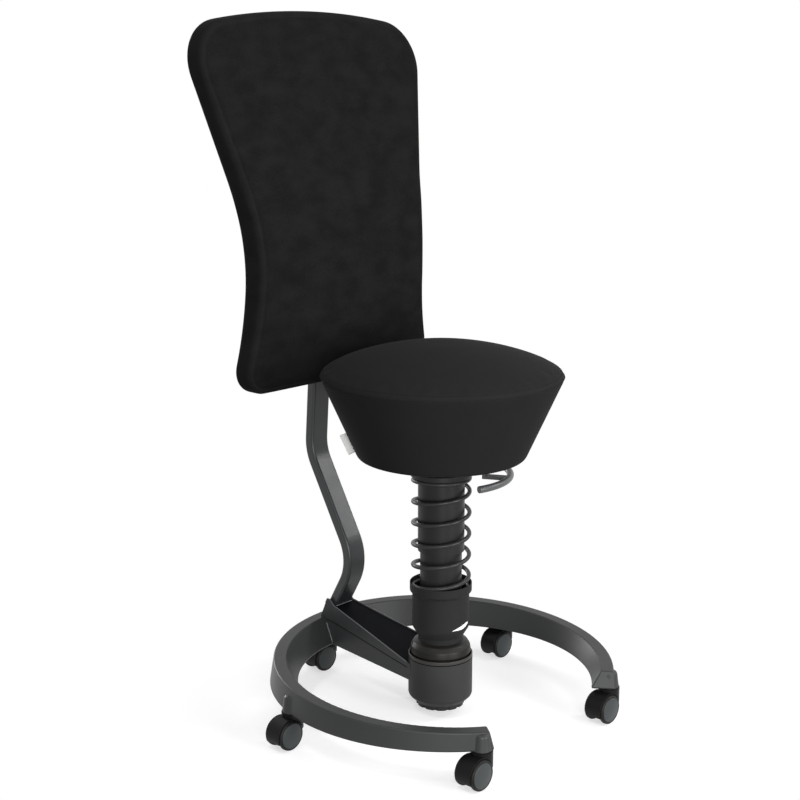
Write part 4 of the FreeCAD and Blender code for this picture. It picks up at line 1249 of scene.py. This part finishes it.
@dataclass
class ArmEdges:
    """The fine lines on the arm: light beads as painted highlights along the cheek edges, at the arm's rear
    ends by the ring and across the post's foot, and dark beads as painted shade in the joints under the
    cheeks.
    """

    hub_y: float = 34.0
    hub_half: float = 49.5
    flare_y: float = 238.0
    rear_half: float = 25.0
    top_z: tuple[float, float] = (90.8, 135.5)
    peak: tuple[tuple[float, float], ...] = ((248.5, 145.0), (255.0, 145.0), (259.2, 136.0))
    joint_z: tuple[float, float, float] = (81.6, 103.0, 104.9)
    ring_y: float = 256.0
    end_highlight: tuple[Point, ...] = ((23.6, 258.4, 97.0), (23.6, 250.8, 80.0), (23.6, 243.2, 62.0))
    foot: Point = (20.0, 236.3, 133.9)
    edge_r: float = 0.8
    end_highlight_r: float = 1.2
    joint_r: float = 0.7
    points_along: int = 48
    sides: int = 8

    def line(self, name: str, path: Sequence[Point], radius: float, finish: Palette) -> None:
        """Lay one bead along a path.

        Args:
            name: Piece name.
            path: Corners of the path.
            radius: Radius of the bead.
            finish: Finish of the bead.
        """
        spots = evenly(np.array(path), self.points_along)
        points, faces = tube_along(spots, radius, self.sides, False)
        bead = mesh_piece(name, points, faces, [finish.material()])
        finish_piece(bead, Body.BASE, "frame_paint")

    def build(self) -> None:
        """Lay the painted highlight and shade lines of both sides and the painted highlight across the post's
        foot.
        """
        for name, side in (("left", -1.0), ("right", 1.0)):
            rear = side * self.rear_half
            hub = side * self.hub_half
            # Light bead along the cheek's top edge: painted highlight
            top = [(hub, self.hub_y, self.top_z[0]), (rear, self.flare_y, self.top_z[1])]
            top += [(rear, depth, height) for depth, height in self.peak]
            self.line(f"cheek_edge_highlight_{name}", top, self.edge_r, Palette.EDGE)
            # Dark bead in the joint under the cheek: painted shade
            joint = [(hub, self.hub_y, self.joint_z[0]), (rear, self.flare_y, self.joint_z[1]),
                     (rear, self.ring_y, self.joint_z[2])]
            self.line(f"cheek_joint_shade_{name}", joint, self.joint_r, Palette.SHADE_LINE)
            # Light bead at the arm's rear end by the ring: painted highlight
            end_highlight = [(side * across, depth, height) for across, depth, height in self.end_highlight]
            self.line(f"arm_end_highlight_{name}", end_highlight, self.end_highlight_r, Palette.EDGE)
        # Light bead across the post's foot: painted highlight
        half, depth, height = self.foot
        self.line("post_foot_highlight", [(-half, depth, height), (half, depth, height)], self.edge_r, Palette.EDGE)


@dataclass
class CupMark:
    """A plain white wedge printed low on the spring cup, thin at its left end."""

    cup_r: float = 49.0
    lift: float = 0.15
    depth: float = 0.4
    # Plan angle in degrees, low edge and high edge at some places along the wedge
    outline: tuple[Point, ...] = ((-114.5, 159.2, 159.6), (-103.5, 158.7, 162.6), (-90.5, 158.7, 165.4),
                                  (-80.0, 160.5, 167.2), (-75.5, 162.0, 167.8), (-68.5, 164.1, 166.9),
                                  (-66.5, 165.5, 166.3))
    steps: int = 49

    def build(self) -> None:
        """Lay a thin closed strip on the cup's side."""
        table = np.array(self.outline)
        angles = np.linspace(table[0, 0], table[-1, 0], self.steps)
        low = np.interp(angles, table[:, 0], table[:, 1])
        high = np.interp(angles, table[:, 0], table[:, 2])
        outer, inner = self.cup_r + self.lift, self.cup_r + self.lift - self.depth
        points = []
        for angle, bottom, top in zip(np.radians(angles), low, high):
            for radius, height in ((outer, bottom), (outer, top), (inner, top), (inner, bottom)):
                points.append((radius * math.cos(angle), radius * math.sin(angle), height))
        faces = ring_faces(self.steps, 4)
        faces += [[3, 2, 1, 0], list(range(len(points) - 4, len(points)))]
        mark = mesh_piece("cup_wedge", np.array(points), faces, [Palette.MARK.material()])
        mark.data.shade_flat()
        finish_piece(mark, Body.CUP, "cup_plastic")


@dataclass
class SideTag:
    """The bare woven tag sewn into the seat's side: one short band, folded in half."""

    angle_deg: float = 135.0
    low_z: float = 463.5
    high_z: float = 497.0
    reach: float = 12.5
    sewn_in: float = 1.5
    half_gap: float = 0.45
    fold_share: float = 0.98
    curl: float = 0.9
    low_curl: float = 0.4
    wall: float = 0.3
    step: float = 1.4
    rows: int = 13

    def build(self, seat: SeatCushion) -> None:
        """Fold the band out of the cone's side, square to it.

        Args:
            seat: The cushion that the tag is sewn to.
        """
        slope = (seat.rim_r - seat.bottom_r) / (seat.rim_z - seat.bottom_z)
        tilt = math.atan(slope)
        turn = math.radians(self.angle_deg)
        radial = np.array([math.cos(turn), math.sin(turn), 0.0])
        along = radial * math.sin(tilt) + np.array([0, 0, math.cos(tilt)])
        outward = radial * math.cos(tilt) - np.array([0, 0, math.sin(tilt)])
        aside = np.cross(outward, along)
        foot_r = seat.bottom_r + slope * (self.low_z - seat.bottom_z)
        foot = radial * foot_r + np.array([0, 0, self.low_z])
        length = (self.high_z - self.low_z) / math.cos(tilt)
        bend = self.half_gap * self.fold_share
        fold = rounded_path([(-self.sewn_in, -self.half_gap, 0), (self.reach, -self.half_gap, bend),
                             (self.reach, self.half_gap, bend), (-self.sewn_in, self.half_gap, 0)], self.step)
        points = []
        for share in np.linspace(0, 1, self.rows):
            for out, side in fold:
                bow = self.curl * (out / self.reach) ** 2 * (self.low_curl + (1 - self.low_curl) * share)
                points.append(foot + along * length * share + outward * out + aside * (side + bow))
        wide = len(fold)
        faces = [[row * wide + at, row * wide + at + 1, (row + 1) * wide + at + 1, (row + 1) * wide + at]
                 for row in range(self.rows - 1) for at in range(wide - 1)]
        tag = mesh_piece("seat_side_tag", np.array(points), faces, [Palette.TAG.material()])
        thick = tag.modifiers.new("cloth", "SOLIDIFY")
        thick.thickness = self.wall * MM
        thick.offset = 0.0
        apply_modifiers(tag)
        finish_piece(tag, Body.SEAT, "tag_fabric", "seat_tag")


@dataclass
class CastorWheels:
    """The ten castor wheels: a dark rounded tread and a paler domed face in a fine groove."""

    circle_r: float = 287.0
    centre_y: float = -5.0
    angles_deg: tuple[float, ...] = (90.0, 162.0, 234.0, -54.0, 18.0)
    trail: float = 19.0
    wheel_r: float = 25.2
    inner_y: float = 11.5
    outer_y: float = 21.7
    bore_r: float = 4.05
    bore_end: float = 17.7
    rim_round: float = 3.2
    inner_round: float = 2.5
    face_r: float = 21.2
    face_edge: float = 19.5
    groove: float = 0.9
    cap_r: float = 0.2
    lip: float = 0.2
    lip_r: float = 0.6
    lip_round: float = 0.3
    groove_r: float = 0.4
    face_drop: float = 0.25
    face_inset: float = 0.5
    dome_rings: int = 12
    step: float = 2.5
    segments: int = 72

    def profile(self) -> tuple[np.ndarray, int]:
        """Draw the half section from the bore round the tread to the middle of the face.

        Returns:
            Radii and distances from the castor's middle, and the number of the groove's last ring.
        """
        lip = self.face_edge + self.lip
        floor = lip - self.groove
        tread = rounded_path([(self.cap_r, self.bore_end, 0), (self.bore_r, self.bore_end, 0),
                              (self.bore_r, self.inner_y, 0),
                              (self.wheel_r, self.inner_y, self.inner_round),
                              (self.wheel_r, lip, self.rim_round),
                              (self.face_r + self.lip_r, lip, self.lip_round),
                              (self.face_r + self.groove_r, floor, 0)], self.step)
        rise = self.outer_y - self.face_edge
        dome_r = (self.face_r ** 2 + rise ** 2) / (2 * rise)
        start = math.asin((self.face_r - self.face_inset) / dome_r)
        spans = np.linspace(start, POLE_ANGLE, self.dome_rings)
        dome = np.stack([dome_r * np.sin(spans), self.outer_y - dome_r + dome_r * np.cos(spans)], axis=1)
        edge = np.array([[self.face_r, floor], [self.face_r, self.face_edge - self.face_drop]])
        return np.concatenate([tread, edge, dome]), len(tread)

    def build(self) -> None:
        """Turn each wheel about its axle and let it ride on its own body."""
        profile, groove = self.profile()
        points, faces = lathe(profile, self.segments)
        last = (len(profile) - 1) * self.segments
        faces.append(list(range(last, last + self.segments)))
        faces.insert(0, list(range(self.segments))[::-1])
        materials = [Palette.WHEEL.material(), Palette.WHEEL_FACE.material()]
        face_start = (groove - 1) * self.segments + 1
        for number, angle in enumerate(self.angles_deg, start=1):
            turn = math.radians(angle)
            stem = self.circle_r * np.array([math.cos(turn), math.sin(turn)])
            axle = np.array([stem[0] - self.trail, stem[1] + self.centre_y, self.wheel_r])
            for side, sign in (("left", -1.0), ("right", 1.0)):
                turned = np.stack([points[:, 0], sign * points[:, 2], points[:, 1]], axis=1) + axle
                outward = [face[::-1] for face in faces] if sign > 0 else faces
                wheel = mesh_piece(f"castor_{number}_{side}_disc", turned, outward, materials)
                for at, polygon in enumerate(wheel.data.polygons):
                    polygon.material_index = int(at >= face_start)
                body = f"castor_{number}_wheel_{side}"
                finish_piece(wheel, body, "wheel_plastic", body)


@dataclass
class StitchRow:
    """A row of lockstitches along a seam, each a small sunk bead of thread."""

    pitch: float = 4.2
    length: float = 3.0
    thread: float = 0.55
    bead_segments: int = 8
    bead_rings: int = 5

    def tree(self, material: bpy.types.Material) -> bpy.types.NodeTree:
        """Build the tree that sets beads of thread along a path.

        Args:
            material: Material of the thread.

        Returns:
            The tree, with named inputs for the path and the sizes.
        """
        tree, source = geometry_tree("row_of_stitches", {
            "Path": "NodeSocketGeometry", "Pitch": "NodeSocketFloat", "Length": "NodeSocketFloat",
            "Thread": "NodeSocketFloat"})
        given = source.outputs
        curve = add_node(tree, "GeometryNodeMeshToCurve", {"Mesh": given["Path"]})
        spots = add_node(tree, "GeometryNodeCurveToPoints",
                         {"Curve": curve.outputs[0], "Length": given["Pitch"]}, mode="LENGTH")
        turn = add_node(tree, "FunctionNodeAlignRotationToVector",
                        {"Vector": spots.outputs["Tangent"]}, axis="X")
        bead = add_node(tree, "GeometryNodeMeshUVSphere",
                        {"Segments": self.bead_segments, "Rings": self.bead_rings, "Radius": 0.5})
        size = add_node(tree, "ShaderNodeCombineXYZ",
                        {"X": given["Length"], "Y": given["Thread"], "Z": given["Thread"]})
        row = add_node(tree, "GeometryNodeInstanceOnPoints", {
            "Points": spots.outputs["Points"], "Instance": bead.outputs["Mesh"], "Rotation": turn.outputs[0],
            "Scale": size.outputs[0]})
        close_tree(tree, row.outputs[0], material)
        return tree

    def build(self, name: str, path: np.ndarray, finish: Palette, body: Body, slot: str) -> None:
        """Sew one closed row.

        Args:
            name: Piece name.
            path: Points of the closed row, in millimetres.
            finish: Finish of the thread.
            body: Body that the row rides on.
            slot: Material slot of the record.
        """
        count = len(path)
        row = mesh_piece(name, path, [], [], [(at, (at + 1) % count) for at in range(count)])
        sizes = {"Pitch": self.pitch * MM, "Length": self.length * MM, "Thread": self.thread * MM}
        finish_piece(grow(row, self.tree(finish.material()), sizes), body, slot)


@dataclass
class Frame:
    """The frame nodes that keep their shape and get a better finish."""

    nodes: dict[str, bpy.types.Object]
    castors: int = 5

    FINISHES: ClassVar[tuple[tuple[Palette, tuple[str, ...]], ...]] = (
        (Palette.RING, ("foot_ring",)),
        (Palette.FRAME, ("ring_arm", "arm_cheeks", "back_bracket")),
        (Palette.POST, ("back_post",)),
        (Palette.COVER, ("arm_cover",)),
        (Palette.HUB, ("hub_housing",)),
        (Palette.BLACKENED, ("bracket_screws",)),
        (Palette.KNOB, ("stiffness_knob", "pressure_plate")),
        (Palette.BUFFER, ("wobble_buffer",)),
        (Palette.BUSH, ("ball_liner", "guide_bush", "slide_bush", "gas_bush")),
        (Palette.CUP, ("pivot_ball", "spring_cup")),
        (Palette.TUBES, ("guide_tube", "upper_sleeve", "top_plate", "gas_sleeve", "gas_tube", "seat_plate")),
        (Palette.CHROME, ("piston_rod", "valve_pin")),
        (Palette.SHELL, ("seat_shell",)),
        (Palette.LEVER, ("height_lever",)),
    )

    def paint(self, finish: Palette, *names: str) -> None:
        """Give nodes a finish.

        Args:
            finish: Finish to give.
            *names: Names of the nodes.
        """
        material = finish.material()
        for name in names:
            node = self.nodes[name]
            if not node.material_slots:
                node.data.materials.append(material)
            for holder in node.material_slots:
                holder.material = material

    def dress(self) -> None:
        """Give every carried-over node its finish."""
        for finish, names in self.FINISHES:
            self.paint(finish, *names)
        for number in range(1, self.castors + 1):
            castor = f"castor_{number}_"
            self.paint(Palette.HOOD, castor + "hood")
            self.paint(Palette.STEEL, castor + "stem", castor + "axle")


@dataclass(frozen=True)
class Lamp:
    """One square soft lamp, aimed at a height on the column's axis, with its power in watts."""

    name: str
    place: Point
    aim_z: float
    size: float
    power: float

    def hang(self) -> None:
        """Add the lamp to the scene."""
        light = bpy.data.lights.new(self.name, "AREA")
        light.energy = self.power
        light.size = self.size * MM
        lamp = bpy.data.objects.new(self.name, light)
        lamp.location = Vector(self.place) * MM
        way = Vector((0, 0, self.aim_z)) - Vector(self.place)
        lamp.rotation_euler = way.to_track_quat("-Z", "Y").to_euler()
        bpy.context.collection.objects.link(lamp)


@dataclass
class Studio:
    """The pale floor, the soft light and the camera."""

    floor_albedo: float = 0.62
    floor_half: float = 30000.0
    near: float = 320.0
    far: float = 500.0
    sky: float = 0.28
    lit_level: float = 0.72
    lens: float = 70.0
    sensor: float = 36.0
    eye: Point = (-1895.5, -1680.8, 1128.7)
    look_down_deg: float = 12.831
    look_round_deg: float = -46.852

    LAMPS: ClassVar[tuple[Lamp, ...]] = (
        Lamp("high_right", (1250, -1300, 2950), 300, 1500, 20),
        Lamp("high_left", (-1600, -140, 3000), 300, 600, 18),
        Lamp("side_right", (2360, -1710, 1950), 350, 600, 24),
        Lamp("low_right", (200, -3200, 760), 500, 1300, 76),
        Lamp("low_front", (-2100, -2400, 760), 500, 1300, 66),
        Lamp("low_rear", (250, 3250, 900), 600, 1300, 45),
    )

    def background_rays(self, tree: bpy.types.NodeTree) -> bpy.types.NodeSocket:
        """Find the rays that show the background: camera, glossy and transmission rays.

        Args:
            tree: Tree of the floor's material or of the world.

        Returns:
            One for such a ray and zero for any other.
        """
        path = add_node(tree, "ShaderNodeLightPath").outputs
        seen = add_node(tree, "ShaderNodeMath", {0: path["Is Camera Ray"], 1: path["Is Glossy Ray"]},
                        operation="MAXIMUM")
        return add_node(tree, "ShaderNodeMath", {0: seen.outputs[0], 1: path["Is Transmission Ray"]},
                        operation="MAXIMUM").outputs[0]

    def floor(self) -> None:
        """Lay the floor, white where it is lit and soft grey in the shadow."""
        half = self.floor_half
        points = np.array([[-half, -half, 0], [half, -half, 0], [half, half, 0], [-half, half, 0]])
        material = bpy.data.materials.new("pale_floor")
        material.use_nodes = True
        tree = material.node_tree
        tree.nodes.clear()
        seen = self.background_rays(tree)
        coords = add_node(tree, "ShaderNodeTexCoord")
        distance = add_node(tree, "ShaderNodeVectorMath", {0: coords.outputs["Object"]}, operation="LENGTH")
        far = add_node(tree, "ShaderNodeMapRange", {
            "Value": distance.outputs["Value"], "From Min": self.near * MM, "From Max": self.far * MM},
            interpolation_type="SMOOTHSTEP")
        albedo = add_node(tree, "ShaderNodeMapRange",
                          {"Value": far.outputs[0], "To Min": self.floor_albedo, "To Max": 0.0})
        matt = add_node(tree, "ShaderNodeBsdfDiffuse", {"Color": albedo.outputs[0]})
        lit = add_node(tree, "ShaderNodeMath", {0: albedo.outputs[0], 1: self.lit_level},
                       operation="MULTIPLY")
        rest = add_node(tree, "ShaderNodeMath", {0: 1.0, 1: lit.outputs[0]}, operation="SUBTRACT")
        lift = add_node(tree, "ShaderNodeMath", {0: seen, 1: rest.outputs[0]}, operation="MULTIPLY")
        glow = add_node(tree, "ShaderNodeEmission", {"Strength": lift.outputs[0]})
        both = add_node(tree, "ShaderNodeAddShader", {0: matt.outputs[0], 1: glow.outputs[0]})
        add_node(tree, "ShaderNodeOutputMaterial", {"Surface": both.outputs[0]})
        mesh_piece("floor", points, [[0, 1, 2, 3]], [material])

    def world(self) -> None:
        """Set a white background and an even sky."""
        world = bpy.data.worlds.new("studio")
        world.use_nodes = True
        tree = world.node_tree
        tree.nodes.clear()
        level = add_node(tree, "ShaderNodeMapRange",
                         {"Value": self.background_rays(tree), "To Min": self.sky, "To Max": 1.0})
        glow = add_node(tree, "ShaderNodeBackground",
                        {"Color": (1.0, 1.0, 1.0, 1.0), "Strength": level.outputs[0]})
        add_node(tree, "ShaderNodeOutputWorld", {"Surface": glow.outputs[0]})
        bpy.context.scene.world = world

    def camera(self) -> None:
        """Set the camera that was fitted to the photograph."""
        data = bpy.data.cameras.new("photo")
        data.lens = self.lens
        data.sensor_width = self.sensor
        camera = bpy.data.objects.new("photo", data)
        camera.location = Vector(self.eye) * MM
        camera.rotation_euler = (math.radians(90 - self.look_down_deg), 0, math.radians(self.look_round_deg))
        bpy.context.collection.objects.link(camera)
        bpy.context.scene.camera = camera

    def build(self) -> None:
        """Set up the whole studio."""
        bpy.context.scene.view_settings.view_transform = "Standard"
        self.floor()
        self.world()
        for lamp in self.LAMPS:
            lamp.hang()
        self.camera()


def corners(bounds: Any) -> list[list[float]]:
    """Turn a box's two corners into plain lists."""
    return [[float(value) for value in corner] for corner in bounds]


def main() -> None:
    """Build the stool's pieces in order."""
    logging.basicConfig(level=logging.INFO, format="%(name)s: %(message)s")
    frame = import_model()
    Frame(frame["nodes"]).dress()
    seat = SeatCushion()
    seat.build()
    SideTag().build(seat)
    Backrest().build()
    CoilSpring().build()
    BallBoot().build()
    HubCollar().build()
    ArmEdges().build()
    CupMark().build()
    CastorWheels().build()
    Studio().build()


if __name__ == "__main__":
    main()
